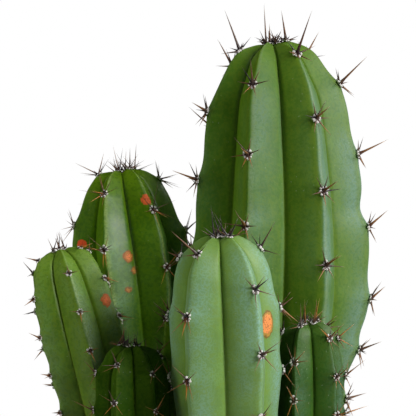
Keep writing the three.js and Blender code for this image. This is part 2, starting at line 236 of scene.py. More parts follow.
class Slot(Enum):
    """The record's material slots."""

    CLAY = "clay"
    SOIL = "soil"
    GREEN_SKIN = "green_skin"
    PALE_SKIN = "pale_skin"
    DARK_SKIN = "dark_skin"
    SPINE = "spine"
    FELT = "felt"
    GRIT = "grit"


def linear(colour: int) -> tuple[float, float, float, float]:
    """Turns a colour to linear light.

    Args:
        colour: The colour as an sRGB hex value.

    Returns:
        Its red, green and blue light, and full opacity.
    """
    shares = [((colour >> shift) & 255) / 255 for shift in (16, 8, 0)]
    red, green, blue = (s / 12.92 if s <= 0.04045 else ((s + 0.055) / 1.055) ** 2.4 for s in shares)
    return red, green, blue, 1.0


def unit(vectors: np.ndarray) -> np.ndarray:
    """The vectors at length 1."""
    return vectors / np.maximum(np.linalg.norm(vectors, axis=-1, keepdims=True), 1e-12)


def smooth_curve(places: np.ndarray, values: np.ndarray, at: np.ndarray) -> np.ndarray:
    """Reads a smooth curve through stations, without overshoot.

    Between two stations it is the cubic whose slope at each station is the harmonic mean of the slopes on
    its two sides, or 0 where the curve turns there.

    Args:
        places: Where the stations are, rising.
        values: The curve's values there.
        at: Where to read it.

    Returns:
        The values read.
    """
    step = np.diff(places)
    slope = np.diff(values) / step
    product = slope[1:] * slope[:-1]
    total = slope[1:] + slope[:-1]
    inner = np.where(product > 0, 2 * product / np.where(total == 0, 1, total), 0.0)
    tangent = np.concatenate([slope[:1], inner, slope[-1:]])
    i = np.clip(np.searchsorted(places, at) - 1, 0, len(step) - 1)
    t = np.clip((at - places[i]) / step[i], 0, 1)
    start = (1 + 2 * t) * (1 - t) ** 2 * values[i] + t * (1 - t) ** 2 * step[i] * tangent[i]
    end = t**2 * (3 - 2 * t) * values[i + 1] - t**2 * (1 - t) * step[i] * tangent[i + 1]
    return start + end


def waves(x: np.ndarray, y: np.ndarray, lengths: tuple[float, float], count: int, seed: int) -> np.ndarray:
    """An uneven surface from -1 to 1 or so: the sum of sine waves in random directions.

    Args:
        x: Places along X.
        y: Places along Y.
        lengths: The shortest and the longest wave.
        count: How many waves.
        seed: The seed of the waves' directions, lengths and phases.

    Returns:
        The heights, in the shape of x.
    """
    draw = np.random.default_rng(seed)
    length = draw.uniform(*lengths, count)
    angle = draw.uniform(0, 2 * np.pi, count)
    phase = draw.uniform(0, 2 * np.pi, count)
    turn = 2 * np.pi / length
    rays = x[..., None] * np.cos(angle) * turn + y[..., None] * np.sin(angle) * turn + phase
    return np.sin(rays).sum(axis=-1) / math.sqrt(count)


@dataclass
class Shell:
    """A surface as arrays: points in millimetres, with faces of four and of three corners."""

    points: np.ndarray
    quads: np.ndarray
    triangles: np.ndarray


def tube_shell(rings: np.ndarray, first: np.ndarray, last: np.ndarray) -> Shell:
    """Closes rings of points into one surface, with a point at each end.

    Args:
        rings: Points as (row, place round the ring, 3). The first ring is the nearest to first.
        first: The point that closes the first ring.
        last: The point that closes the last ring.

    Returns:
        The surface. Its faces point outwards if the rings run anticlockwise as seen from first.
    """
    rows, count, _ = rings.shape
    j = np.arange(count)
    k = (j + 1) % count
    base = 1 + np.arange(rows - 1)[:, None] * count
    quads = np.stack([base + j, base + count + j, base + count + k, base + k], axis=-1).reshape(-1, 4)
    end = 1 + rows * count
    foot = end - count
    cap = np.stack([np.zeros(count, int), 1 + j, 1 + k], axis=-1)
    seat = np.stack([np.full(count, end), foot + k, foot + j], axis=-1)
    points = np.concatenate([[first], rings.reshape(-1, 3), [last]])
    return Shell(points, quads, np.concatenate([cap, seat]))


def repeat_shell(shell: Shell, points: np.ndarray) -> Shell:
    """Repeats a surface's faces over many copies of its points.

    Args:
        shell: The surface that is repeated.
        points: Points as (copy, point, 3).

    Returns:
        All the copies as one surface.
    """
    copies, count, _ = points.shape
    shift = (np.arange(copies) * count)[:, None, None]
    quads = (shell.quads[None] + shift).reshape(-1, 4)
    triangles = (shell.triangles[None] + shift).reshape(-1, 3)
    return Shell(points.reshape(-1, 3), quads, triangles)


def mesh_piece(name: str, shell: Shell, smooth: bool = True, **attributes: np.ndarray) -> bpy.types.Object:
    """Makes an object of a surface, with its place in its mesh.

    Args:
        name: The object's name.
        shell: The surface, in millimetres.
        smooth: Whether it is shaded smooth.
        attributes: Values for the points, by attribute name.

    Returns:
        The object, at the origin.
    """
    mesh = bpy.data.meshes.new(name)
    mesh.vertices.add(len(shell.points))
    mesh.vertices.foreach_set("co", (shell.points * MM).astype(np.float32).ravel())
    corners = np.concatenate([shell.quads.ravel(), shell.triangles.ravel()])
    mesh.loops.add(len(corners))
    mesh.loops.foreach_set("vertex_index", corners.astype(np.int32))
    quad_starts = np.arange(len(shell.quads)) * 4
    triangle_starts = len(shell.quads) * 4 + np.arange(len(shell.triangles)) * 3
    mesh.polygons.add(len(shell.quads) + len(shell.triangles))
    mesh.polygons.foreach_set("loop_start", np.concatenate([quad_starts, triangle_starts]).astype(np.int32))
    mesh.update(calc_edges=True)
    if smooth:
        mesh.shade_smooth()
    else:
        mesh.shade_flat()
    for key, values in attributes.items():
        attribute = mesh.attributes.new(key, "FLOAT", "POINT")
        attribute.data.foreach_set("value", np.asarray(values, np.float32).ravel())
    piece = bpy.data.objects.new(name, mesh)
    bpy.context.scene.collection.objects.link(piece)
    return piece


def dress(piece: bpy.types.Object, material: bpy.types.Material) -> bpy.types.Object:
    """Gives a piece its material, and lets it ride with the object.

    Args:
        piece: The piece.
        material: Its material.

    Returns:
        The piece.
    """
    piece.data.materials.clear()
    piece.data.materials.append(material)
    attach(piece, BODY)
    return piece


def feed(tree: bpy.types.NodeTree, node: bpy.types.Node, inputs: dict[int | str, Any]) -> None:
    """Sets or links a node's inputs.

    Args:
        tree: The node tree.
        node: The node.
        inputs: Values or output sockets, by the input's name or number.
    """
    for key, value in inputs.items():
        if isinstance(value, bpy.types.NodeSocket):
            tree.links.new(value, node.inputs[key])
        else:
            node.inputs[key].default_value = value


def add_node(
    tree: bpy.types.NodeTree,
    kind: str,
    inputs: dict[int | str, Any] | None = None,
    out: int | str = 0,
    **settings: Any,
) -> bpy.types.NodeSocket:
    """Adds a shader node with its settings, and sets or links its inputs.

    Args:
        tree: The node tree.
        kind: The node's type, without the word ShaderNode at its start.
        inputs: Values or output sockets, by the input's name or number.
        out: The output that is read, by name or number.
        settings: The node's own properties.

    Returns:
        That output.
    """
    made = tree.nodes.new("ShaderNode" + kind)
    for key, value in settings.items():
        setattr(made, key, value)
    feed(tree, made, inputs or {})
    return made.outputs[out]


def new_material(name: str) -> tuple[bpy.types.Material, bpy.types.NodeTree, bpy.types.Node]:
    """A material with one principled shader.

    Args:
        name: Its name.

    Returns:
        The material, its node tree and its shader.
    """
    material = bpy.data.materials.new(name)
    material.use_nodes = True
    tree = material.node_tree
    return material, tree, tree.nodes["Principled BSDF"]


@dataclass(frozen=True)
class Scar:
    """A corky orange scar on a stem's skin.

    around is its place in ribs from the first crest. arc is its distance from the tip along the crest, and
    width and height are its size, in millimetres. tone runs from 0, a dull orange, to 1, a red one, and
    lean is its slant, as the way aside over the way down.
    """

    around: float
    arc: float
    width: float
    height: float
    tone: float
    lean: float = 0.0


@dataclass(frozen=True)
class Dent:
    """A shallow hollow in a stem's skin, or a bulge where depth is below 0.

    around is its middle in ribs from the first crest. arc is its distance from the tip along the crest,
    reach half its length down the rib and depth how deep it is, in millimetres. spread is half its width,
    in ribs.
    """

    around: float
    arc: float
    reach: float
    depth: float
    spread: float = 0.35


@dataclass(frozen=True)
class Leader:
    """A long spine that stands in a way of its own.

    rib and row name its areole, with row 0 at the tip. rise is its angle above the horizontal and sway the
    angle that it swings from its rib's bearing towards +X, both in degrees. length is in millimetres, and
    tone runs from 0, a dark spine, to 1, a straw one.
    """

    rib: int
    row: int
    rise: float
    length: float
    sway: float
    tone: float


@dataclass(frozen=True)
class Arms:
    """The spines and felt of one stem's areoles, in millimetres.

    central and radial are lengths, tuft the length of the young spines at the tip, and girth the
    thickness of a central spine's foot. rays counts the radial spines, and lean is how far they stand
    off the skin, over how far they reach along it. beads counts the tufts of wool round an areole, and
    felt is the radius of their ring. tan is how pale the spines are, from 0 to 1. leaders are the long
    spines that stand in a way of their own.
    """

    central: float
    radial: float
    tuft: float
    girth: float
    rays: int
    beads: int
    felt: float
    tan: float
    lean: float = 0.35
    leaders: tuple[Leader, ...] = ()


@dataclass(frozen=True)
class Stem:
    """One ribbed stem: the form of its skin, with its areoles, spines and scars.

    Its sizes are in millimetres. foot is where the axis meets the soil, tip its top, and bow how far the
    axis swings out between them. crests lists the ribs by their angle from the front towards +X, in
    degrees, and furrow is the furrow's depth as a share of the radius. areole_start is how far from the
    tip each rib's first areole lies along the crest, and areole_step the distance to the next. Below
    crowd_from the areoles stand closer, by the factor crowding. girth lists (depth below the tip, crest
    radius), and twist is how far the ribs turn towards +X at the tip, in degrees.
    """

    name: str
    foot: tuple[float, float]
    tip: tuple[float, float, float]
    bow: tuple[float, float]
    crests: tuple[float, ...]
    furrow: float
    areole_step: float
    areole_start: tuple[float, ...]
    girth: tuple[tuple[float, float], ...]
    arms: Arms
    scars: tuple[Scar, ...] = ()
    dents: tuple[Dent, ...] = ()
    twist: float = 0.0
    crowd_from: float = 1000.0
    crowding: float = 1.0

    @property
    def ribs(self) -> int:
        """How many ribs the stem has."""
        return len(self.crests)

    def crest_radius(self, depth: np.ndarray) -> np.ndarray:
        """The crest's radius at depths below the tip: a smooth curve through the girth's stations."""
        # The curve runs over the square root of the depth, which makes the tip round.
        stations = np.array([(0.0, 0.0), *self.girth])
        return smooth_curve(np.sqrt(stations[:, 0]), stations[:, 1], np.sqrt(np.maximum(depth, 0.0)))

    def axis(self, z: np.ndarray) -> tuple[np.ndarray, np.ndarray, np.ndarray, np.ndarray]:
        """The axis at heights z: its centre, and the directions along it, to its right and to its back.

        The centre runs straight from foot to tip, plus the bow times 4 t (1 - t), where t is the share of
        the height above the soil.

        Args:
            z: Heights.

        Returns:
            Four arrays of points or unit vectors, one for each height.
        """
        z = np.asarray(z, float)
        length = self.tip[2] - SOIL_TOP
        t = ((z - SOIL_TOP) / length)[..., None]
        foot, tip, bow = np.array(self.foot), np.array(self.tip[:2]), np.array(self.bow)
        flat = foot + (tip - foot) * t + bow * 4 * t * (1 - t)
        slope = (tip - foot + bow * 4 * (1 - 2 * t)) / length
        centre = np.concatenate([flat, z[..., None]], axis=-1)
        along = unit(np.concatenate([slope, np.ones_like(t)], axis=-1))
        right = unit(np.array([1.0, 0.0, 0.0]) - along * along[..., :1])
        return centre, along, right, np.cross(along, right)

    @cached_property
    def run(self) -> tuple[np.ndarray, np.ndarray]:
        """The crest's curve from the tip to the soil, summed from short straight steps.

        Returns:
            Depths below the tip, and their lengths along the crest.
        """
        last = self.tip[2] - SOIL_TOP - FOOT_COLLAR
        depth = last * np.linspace(0, 1, CREST_STEPS) ** 2
        steps = np.hypot(np.diff(depth), np.diff(self.crest_radius(depth)))
        return depth, np.concatenate([[0.0], np.cumsum(steps)])

    def depth_at(self, arc: np.ndarray) -> np.ndarray:
        """Depths below the tip at lengths along the crest."""
        depth, length = self.run
        return np.interp(arc, length, depth)

    def crest_normal(self, depth: np.ndarray) -> tuple[np.ndarray, np.ndarray]:
        """The crest's outward normal at depths, as its parts across and along the axis.

        It is square to the line between the crest's points a little above and a little below.

        Args:
            depth: Depths below the tip.

        Returns:
            The two parts.
        """
        near = NORMAL_REACH * depth + NORMAL_LEAST
        wide = self.crest_radius(depth + near) - self.crest_radius(depth - near)
        slope = wide / (2 * near)
        size = np.hypot(1.0, slope)
        return 1 / size, slope / size

    def bearing(self, around: np.ndarray, depth: np.ndarray) -> np.ndarray:
        """The angle of places round the stem from the front towards +X, in radians.

        It rises evenly from each crest to the next, plus the twist, which fades with the depth.

        Args:
            around: Places round the stem, in ribs.
            depth: Depths below the tip.

        Returns:
            The angles.
        """
        marks = np.array([*self.crests, self.crests[0] + 360])
        laps = np.floor(around / self.ribs)
        even = np.interp(around - laps * self.ribs, np.arange(self.ribs + 1), marks) + laps * 360
        return np.radians(even + self.twist * np.exp(-depth / TWIST_REACH))

    def steps_down(self, arc: np.ndarray) -> np.ndarray:
        """How many areole steps lengths along the crest are from the tip."""
        return (arc + np.maximum(arc - self.crowd_from, 0) * (self.crowding - 1)) / self.areole_step

    def areole_gap(self, arc: np.ndarray, around: np.ndarray) -> tuple[np.ndarray, np.ndarray]:
        """Where points lie between the areoles of their rib.

        Args:
            arc: Lengths along the crest.
            around: Places round the stem, in ribs.

        Returns:
            The distance below the last areole as a share of the step, and the distance to the nearest one
            in millimetres along the crest.
        """
        start = np.array(self.areole_start)[np.round(around).astype(int) % self.ribs]
        beyond = self.steps_down(arc) - self.steps_down(start)
        phase = beyond - np.floor(beyond)
        return phase, np.minimum(phase, 1 - phase) * self.areole_step

    def scar_level(
        self, arc: np.ndarray, around: np.ndarray, depth: np.ndarray
    ) -> tuple[np.ndarray, np.ndarray]:
        """How deep in a scar points lie, and the tone of that scar.

        A scar is an ellipse on the skin. The level is 1 less the point's distance from its middle over the
        ellipse's radius in that direction, times half the ellipse's shorter side over SCAR_SLOPE. So it is
        0 at every scar's rim, below 0 outside, and rises inwards by 1 over SCAR_SLOPE.

        Args:
            arc: Lengths along the crest from the tip.
            around: Places round the stem, in ribs.
            depth: Depths below the tip.

        Returns:
            The levels and the tones.
        """
        level = np.full(arc.shape, NO_SCAR)
        tone = np.zeros(arc.shape)
        pitch = 2 * np.pi * self.crest_radius(depth) / self.ribs * (1 - self.furrow / 2)
        for scar in self.scars:
            side = (np.mod(around - scar.around + self.ribs / 2, self.ribs) - self.ribs / 2) * pitch
            down = arc - scar.arc
            side, down = side + scar.lean * down, down - scar.lean * side
            inside = 1 - np.hypot(side / (scar.width / 2), down / (scar.height / 2))
            here = inside * min(scar.width, scar.height) / (2 * SCAR_SLOPE)
            tone = np.where(here > level, scar.tone, tone)
            level = np.maximum(level, here)
        return level, tone

    def skin(self, arc: np.ndarray, around: np.ndarray) -> np.ndarray:
        """Points of the skin.

        A point starts on the crest's circle and sinks along the crest's normal: in proportion to its
        distance from the crest, rounded at the crest, plus a hollow on the rib's face, a dip above each
        areole, a narrow crease in the furrow and the dents, and less a mound at the areole and a blister
        in a scar. The ribs waver a little down their length, and fade above the soil, and the tip is sunk.

        Args:
            arc: Lengths along the crest from the tip.
            around: Places round the stem, in ribs from the first crest.

        Returns:
            The points, in millimetres.
        """
        depth = self.depth_at(arc)
        z = self.tip[2] - depth
        radius = self.crest_radius(depth)
        across_share, along_share = self.crest_normal(depth)
        rib = np.round(around)
        phi = 2 * (around - rib)
        fade = np.clip((z - SOIL_TOP - FOOT_COLLAR) / RIB_FADE, 0, 1)
        rounded = np.hypot(phi, CREST_ROUNDING) - CREST_ROUNDING
        share = rounded / (np.hypot(1, CREST_ROUNDING) - CREST_ROUNDING)
        phase, near = self.areole_gap(arc, around)
        notch = NOTCH_DEPTH * (0.5 - 0.5 * np.cos(2 * np.pi * phase**NOTCH_LEAN)) * (1 - np.abs(phi))
        crease_depth = CREASE_DEPTH + CREASE_AT_TIP * np.exp(-arc / CREASE_REACH)
        crease = crease_depth * np.exp(-(((1 - np.abs(phi)) / CREASE_WIDTH) ** 2))
        hollow = FACE_HOLLOW * np.sin(np.pi * np.abs(phi))
        wobble = WOBBLE * np.sin(arc / WOBBLE_LENGTH + WOBBLE_PHASE * rib)
        sunk = radius * fade * (self.furrow * share + notch + crease + hollow + wobble)
        side = phi / 2 * 2 * np.pi * radius / self.ribs
        mound = MOUND_HEIGHT * np.exp(-((near**2 + side**2) / MOUND_RADIUS**2))
        mound = mound * np.minimum(1, arc / MOUND_RADIUS)
        level, _ = self.scar_level(arc, around, depth)
        blister = SCAR_HEIGHT * np.sqrt(np.clip(level * SCAR_STEEPNESS, 0, 1))
        sunk = sunk - (mound + blister) * fade
        for dent in self.dents:
            gap = (np.mod(around - dent.around + self.ribs / 2, self.ribs) - self.ribs / 2) / dent.spread
            sunk = sunk + dent.depth * np.exp(-(gap**2) - ((arc - dent.arc) / dent.reach) ** 2)
        sink = TIP_SINK * np.exp(-((radius / TIP_SINK_RADIUS) ** 2))
        angle = self.bearing(around, depth)[..., None]
        centre, along, right, back = self.axis(z)
        outward = right * np.sin(angle) - back * np.cos(angle)
        return (
            centre
            + outward * (radius - sunk * across_share)[..., None]
            - along * (sunk * along_share + sink)[..., None]
        )


@dataclass(frozen=True)
class WaxySkin:
    """Living cactus skin: a leathery green cuticle, grown under a thin bloom of wax.

    It is satin where it is bare, and matt and bluish where the bloom lies, which is thickest beside the
    crests and thin at the young tip. As painted light, the bloom is also laid thicker on faces turned
    towards the lamps on the right front, and a pale band right of each crest is a painted highlight. As
    painted shade, each rib's left flank is tinted yellower. It is yellower left of the crests, in the
    furrows and at the tip, finely mottled all over, and corky at its foot and in its scars.

    deep and face are the two greens of a rib's face, and furrow, young and bloom the colours of those
    places; crest is the colour of the painted highlight beside a crest. bloom_share, young_share, strip,
    band and mottle are strengths from 0 to 1: of the bloom on old skin, of the tip's green, of the yellow
    strip left of a crest, of the painted highlight right of it and of the mottle. shade_bloom is the
    bloom's share on faces turned away from the lamps, and furrow_bloom its share, as painted light, in a
    furrow turned towards them. bloom_from is where the bloom sets in and where it is full, in millimetres
    along the crest from the tip. gloss is the strength of the bare skin's shine, and gloss_roughness its
    roughness.
    """

    name: str
    deep: int
    face: int
    furrow: int
    # crest: the colour of the painted highlight beside each crest.
    crest: int
    young: int
    bloom: int
    bloom_share: float
    gloss_roughness: float
    young_share: float = 0.6
    bloom_from: tuple[float, float] = (6.0, 45.0)
    gloss: float = 0.3
    # The bloom's share away from the lamps, and in a furrow facing them: painted light.
    shade_bloom: float = 0.25
    furrow_bloom: float = 0.12
    strip: float = 0.5
    # band: the strength of the painted highlight right of each crest.
    band: float = 0.5
    mottle: float = 0.5

    def material(self) -> bpy.types.Material:
        """Builds the material. It reads the skin's attributes across, flank, arc, scar and scar_tone.

        Returns:
            The material.
        """
        material, tree, shader = new_material(self.name)
        place = add_node(tree, "TexCoord", out="Object")
        facing = add_node(tree, "TexCoord", out="Normal")
        # Painted light: how squarely a face turns towards the lamps on the right front.
        lamp_facing = add_node(tree, "VectorMath", {0: facing, 1: LAMP_FACING_WAY}, "Value", operation="DOT_PRODUCT")
        across, flank, arc, scar, scar_tone = (
            add_node(tree, "Attribute", out="Fac", attribute_name=key)
            for key in ("across", "flank", "arc", "scar", "scar_tone")
        )
        height = add_node(tree, "SeparateXYZ", {0: place}, "Z")
        drawn = add_node(tree, "Mapping", {"Vector": place, "Scale": (1.0, 1.0, STREAK_STRETCH)})

        # Each noise: where it is read, the size of its grains in millimetres, and its detail.
        noises = {
            "cells": (place, 7, 5.0),
            "clouds": (place, 30, 2.0),
            "streaks": (drawn, 2.5, 3.0),
            "mottle": (place, 1.6, 1.0),
            "grain": (place, 0.9, 2.0),
            "specks": (place, 1.2, 0.0),
            "edge": (place, 1.6, 2.0),
        }
        noise = {
            key: add_node(tree, "TexNoise", {"Vector": at, "Scale": 1 / (size * MM), "Detail": detail})
            for key, (at, size, detail) in noises.items()
        }
        ragged = add_node(
            tree, "Math", {0: noise["edge"], 1: SCAR_RAGGEDNESS, 2: scar}, operation="MULTIPLY_ADD"
        )
        cork_edge = add_node(
            tree, "Math", {0: noise["cells"], 1: -CORK_RAGGEDNESS * MM, 2: height}, operation="MULTIPLY_ADD"
        )

        # Each mask: the value it reads, where it starts and ends, and its strength at each end.
        masks = {
            "cells": (noise["cells"], 0.36, 0.64, 0.0, 1.0),
            "streaks": (noise["streaks"], 0.40, 0.66, 0.0, 0.22),
            "mottle": (noise["mottle"], 0.50, 0.62, 0.0, self.mottle),
            "shadow": (noise["mottle"], 0.38, 0.50, self.mottle, 0.0),
            "furrow": (across, 0.80, 1.0, 0.0, 0.6),
            # Painted shade: each rib's left flank is tinted towards the furrow's yellow-green.
            "left": (flank, -0.7, 0.1, 0.25, 0.0),
            "strip_in": (flank, -0.25, -0.04, self.strip, 0.0),
            "strip_out": (across, 0.12, 0.24, 1.0, 0.0),
            # Painted highlight: a pale band just right of each crest, strongest on faces turned towards the
            # lamps.
            "highlight_in": (flank, -0.02, 0.12, 0.0, self.band),
            "highlight_out": (across, 0.05, 0.20, 1.0, 0.0),
            "highlight_lit_side": (lamp_facing, -0.1, 0.7, 0.35, 1.0),
            "young": (arc, 4.0, 44.0, self.young_share, 0.0),
            "bloom_out": (across, 0.15, 0.85, 1.0, 0.12),
            # Painted light: the bloom is laid thicker on faces turned towards the lamps, and in furrows that
            # face them.
            "lit_side_bloom": (lamp_facing, 0.25, 0.95, self.shade_bloom, 1.0),
            "lit_furrow_bloom": (lamp_facing, 0.80, 0.98, 0.12, self.furrow_bloom),
            "bloom_clouds": (noise["clouds"], 0.36, 0.62, 0.30, 1.0),
            "bloom_age": (arc, *self.bloom_from, 0.1 * self.bloom_share, self.bloom_share),
            "specks": (noise["specks"], 0.82, 0.85, 0.0, 0.15),
            "cork": (cork_edge, 0.146, 0.160, 0.9, 0.0),
            "scar_rim": (ragged, 0.18, 0.25, 0.0, 0.9),
            "scar_ring": (ragged, 0.30, 0.38, 0.0, 1.0),
            "scar_core": (ragged, 0.46, 0.54, 0.0, 1.0),
            "scar_crack": (noise["grain"], 0.54, 0.62, 0.0, 0.6),
        }
        share = {
            key: add_node(
                tree,
                "MapRange",
                {"Value": value, "From Min": low, "From Max": high, "To Min": start, "To Max": end},
                interpolation_type="SMOOTHSTEP",
            )
            for key, (value, low, high, start, end) in masks.items()
        }
        share["bloom_cover"] = add_node(
            tree, "Math", {0: share["bloom_out"], 1: share["lit_furrow_bloom"]}, operation="MAXIMUM"
        )
        products = {
            "bloom": ("bloom_cover", "lit_side_bloom", "bloom_clouds", "bloom_age"),
            "strip": ("strip_in", "strip_out"),
            # The painted highlight's share: right of the crest, near it, and facing the lamps.
            "band": ("highlight_in", "highlight_out", "highlight_lit_side"),
        }
        for key, (first, *others) in products.items():
            share[key] = share[first]
            for other in others:
                share[key] = add_node(tree, "Math", {0: share[key], 1: share[other]}, operation="MULTIPLY")

        # The cork of a scar: redder by its tone, and cracked at its core.
        rust, rim, ring = (
            add_node(
                tree,
                "Mix",
                {SHARE: scar_tone, UNDER: linear(paint), OVER: linear(SCAR_RED)},
                MIXED,
                data_type="RGBA",
            )
            for paint in (SCAR_ORANGE, SCAR_RIM, SCAR_RING)
        )
        laid = {SHARE: share["scar_crack"], UNDER: rust, OVER: linear(SCAR_CRACK)}
        rust = add_node(tree, "Mix", laid, MIXED, data_type="RGBA")

        # Colours laid over each other, the lowest first.
        paints = {
            "cells": linear(self.face),
            "streaks": linear(self.furrow),
            "furrow": linear(self.furrow),
            # Painted shade: the yellow-green tint of each rib's left flank.
            "left": linear(self.furrow),
            # The bloom: real wax by its place and age, and painted light where it is thicker on faces turned
            # towards the lamps.
            "bloom": linear(self.bloom),
            "young": linear(self.young),
            "strip": linear(self.furrow),
            # Painted highlight: the crest colour laid as a pale band beside each crest.
            "band": linear(self.crest),
            "mottle": linear(self.furrow),
            "shadow": linear(self.deep),
            "specks": linear(DUST),
            "cork": linear(CORK),
            "scar_rim": rim,
            "scar_ring": ring,
            "scar_core": rust,
        }
        colour = linear(self.deep)
        for key, paint in paints.items():
            laid = {SHARE: share[key], UNDER: colour, OVER: paint}
            colour = add_node(tree, "Mix", laid, MIXED, data_type="RGBA")
        roughness = self.gloss_roughness
        for key, value in (("bloom", 0.66), ("cork", 0.85), ("scar_rim", 0.62)):
            laid = {SHARE: share[key], NUMBER_UNDER: roughness, NUMBER_OVER: value}
            roughness = add_node(tree, "Mix", laid)
        relief = add_node(
            tree, "Math", {0: noise["streaks"], 1: 0.6, 2: noise["grain"]}, operation="MULTIPLY_ADD"
        )
        bump = add_node(tree, "Bump", {"Strength": 0.30, "Distance": 0.22 * MM, "Height": relief})
        feed(tree, shader, {"Base Color": colour, "Roughness": roughness, "Normal": bump})
        feed(tree, shader, {"IOR": 1.5, "Specular IOR Level": self.gloss})
        return material


@dataclass(frozen=True)
class HornSpine:
    """Hard spine horn, grown like a thorn and glossy.

    A dark spine is near black at its foot and rose grey at its tip. A pale one runs from brown over straw
    to cream. Both are a little ashy where their fibres are worn.
    """

    name: str = "spine horn, glossy"
    roughness: float = 0.38

    def material(self) -> bpy.types.Material:
        """Builds the material. It reads the attributes along, foot to tip, and tone, dark to pale.

        Returns:
            The material.
        """
        material, tree, shader = new_material(self.name)
        place = add_node(tree, "TexCoord", out="Object")
        along = add_node(tree, "Attribute", out="Fac", attribute_name="along")
        tone = add_node(tree, "Attribute", out="Fac", attribute_name="tone")
        fibre = add_node(tree, "TexNoise", {"Vector": place, "Scale": 1 / (1.5 * MM), "Detail": 2.0})
        climbs = [
            add_node(
                tree,
                "MapRange",
                {"Value": along, "From Min": low, "From Max": high},
                interpolation_type="SMOOTHSTEP",
            )
            for low, high in SPINE_STAGES
        ]
        ramps = []
        for foot, *upper in ((SPINE_DARK, SPINE_RED, SPINE_ROSE), (SPINE_BROWN, SPINE_STRAW, SPINE_CREAM)):
            ramp = linear(foot)
            for climb, paint in zip(climbs, upper):
                laid = {SHARE: climb, UNDER: ramp, OVER: linear(paint)}
                ramp = add_node(tree, "Mix", laid, MIXED, data_type="RGBA")
            ramps.append(ramp)
        wear = {"Value": fibre, "From Min": 0.4, "From Max": 0.7, "To Max": 0.15}
        worn = add_node(tree, "MapRange", wear)
        colour = ramps[0]
        for mask, paint in ((tone, ramps[1]), (worn, linear(SPINE_ASH))):
            laid = {SHARE: mask, UNDER: colour, OVER: paint}
            colour = add_node(tree, "Mix", laid, MIXED, data_type="RGBA")
        bump = add_node(tree, "Bump", {"Strength": 0.2, "Distance": 0.1 * MM, "Height": fibre})
        feed(tree, shader, {"Base Color": colour, "Normal": bump, "Roughness": self.roughness, "IOR": 1.54})
        return material


@dataclass(frozen=True)
class WoolFelt:
    """The short wool of an areole: matted plant hair, off-white, without gloss and dark at its heart."""

    name: str = "areole wool, matted"

    def material(self) -> bpy.types.Material:
        """Builds the material. It reads the attribute tone, 0 at the dark heart and 1 on the white tufts.

        Returns:
            The material.
        """
        material, tree, shader = new_material(self.name)
        place = add_node(tree, "TexCoord", out="Object")
        tone = add_node(tree, "Attribute", out="Fac", attribute_name="tone")
        hair = add_node(tree, "TexNoise", {"Vector": place, "Scale": 1 / (0.4 * MM), "Detail": 3.0})
        wool = linear(WOOL_SHADE)
        laid = {SHARE: hair, UNDER: wool, OVER: linear(WOOL_LIGHT)}
        wool = add_node(tree, "Mix", laid, MIXED, data_type="RGBA")
        laid = {SHARE: tone, UNDER: linear(WOOL_HEART), OVER: wool}
        colour = add_node(tree, "Mix", laid, MIXED, data_type="RGBA")
        bump = add_node(tree, "Bump", {"Strength": 0.8, "Distance": 0.3 * MM, "Height": hair})
        feed(tree, shader, {"Base Color": colour, "Normal": bump, "Roughness": 0.95, "Sheen Weight": 0.3})
        return material


@dataclass(frozen=True)
class Terracotta:
    """Unglazed terracotta, turned on a wheel and fired: dry, dusty orange clay with fine turning rings.

    Lime has come through the wall in pale patches, most near the foot, and the rim is a little darker from
    wet.
    """

    name: str = "terracotta, unglazed"

    def material(self) -> bpy.types.Material:
        """Builds the material, on Object coordinates.

        Returns:
            The material.
        """
        material, tree, shader = new_material(self.name)
        place = add_node(tree, "TexCoord", out="Object")
        height = add_node(tree, "SeparateXYZ", {0: place}, "Z")
        flat = add_node(tree, "Mapping", {"Vector": place, "Scale": (RING_STRETCH, RING_STRETCH, 1.0)})
        rings = add_node(tree, "TexNoise", {"Vector": flat, "Scale": 1 / (1.8 * MM), "Detail": 3.0})
        patches = add_node(tree, "TexNoise", {"Vector": place, "Scale": 1 / (28 * MM), "Detail": 6.0})
        grit = add_node(tree, "TexNoise", {"Vector": place, "Scale": 1 / (1.1 * MM), "Detail": 3.0})
        low = {"Value": height, "From Min": 0.0, "From Max": 0.14, "To Min": 0.10, "To Max": 0.0}
        limed = add_node(tree, "Math", {0: patches, 1: add_node(tree, "MapRange", low)}, operation="ADD")

        # Colours laid over each other: what places one, where it starts and is full, and how strong it is.
        colour = linear(CLAY_BODY)
        paints = (
            (rings, 0.38, 0.62, 0.45, CLAY_RING),
            (height, 0.146, 0.168, 0.45, CLAY_WET),
            (limed, 0.56, 0.84, 0.35, CLAY_LIME),
            (grit, 0.62, 0.72, 0.5, CLAY_GRIT),
        )
        for value, start, full, strength, paint in paints:
            mask = add_node(
                tree,
                "MapRange",
                {"Value": value, "From Min": start, "From Max": full, "To Max": strength},
                interpolation_type="SMOOTHSTEP",
            )
            laid = {SHARE: mask, UNDER: colour, OVER: linear(paint)}
            colour = add_node(tree, "Mix", laid, MIXED, data_type="RGBA")
        relief = add_node(tree, "Math", {0: rings, 1: 1.2, 2: grit}, operation="MULTIPLY_ADD")
        bump = add_node(tree, "Bump", {"Strength": 0.5, "Distance": 0.5 * MM, "Height": relief})
        feed(tree, shader, {"Base Color": colour, "Normal": bump, "Roughness": 0.88})
        return material


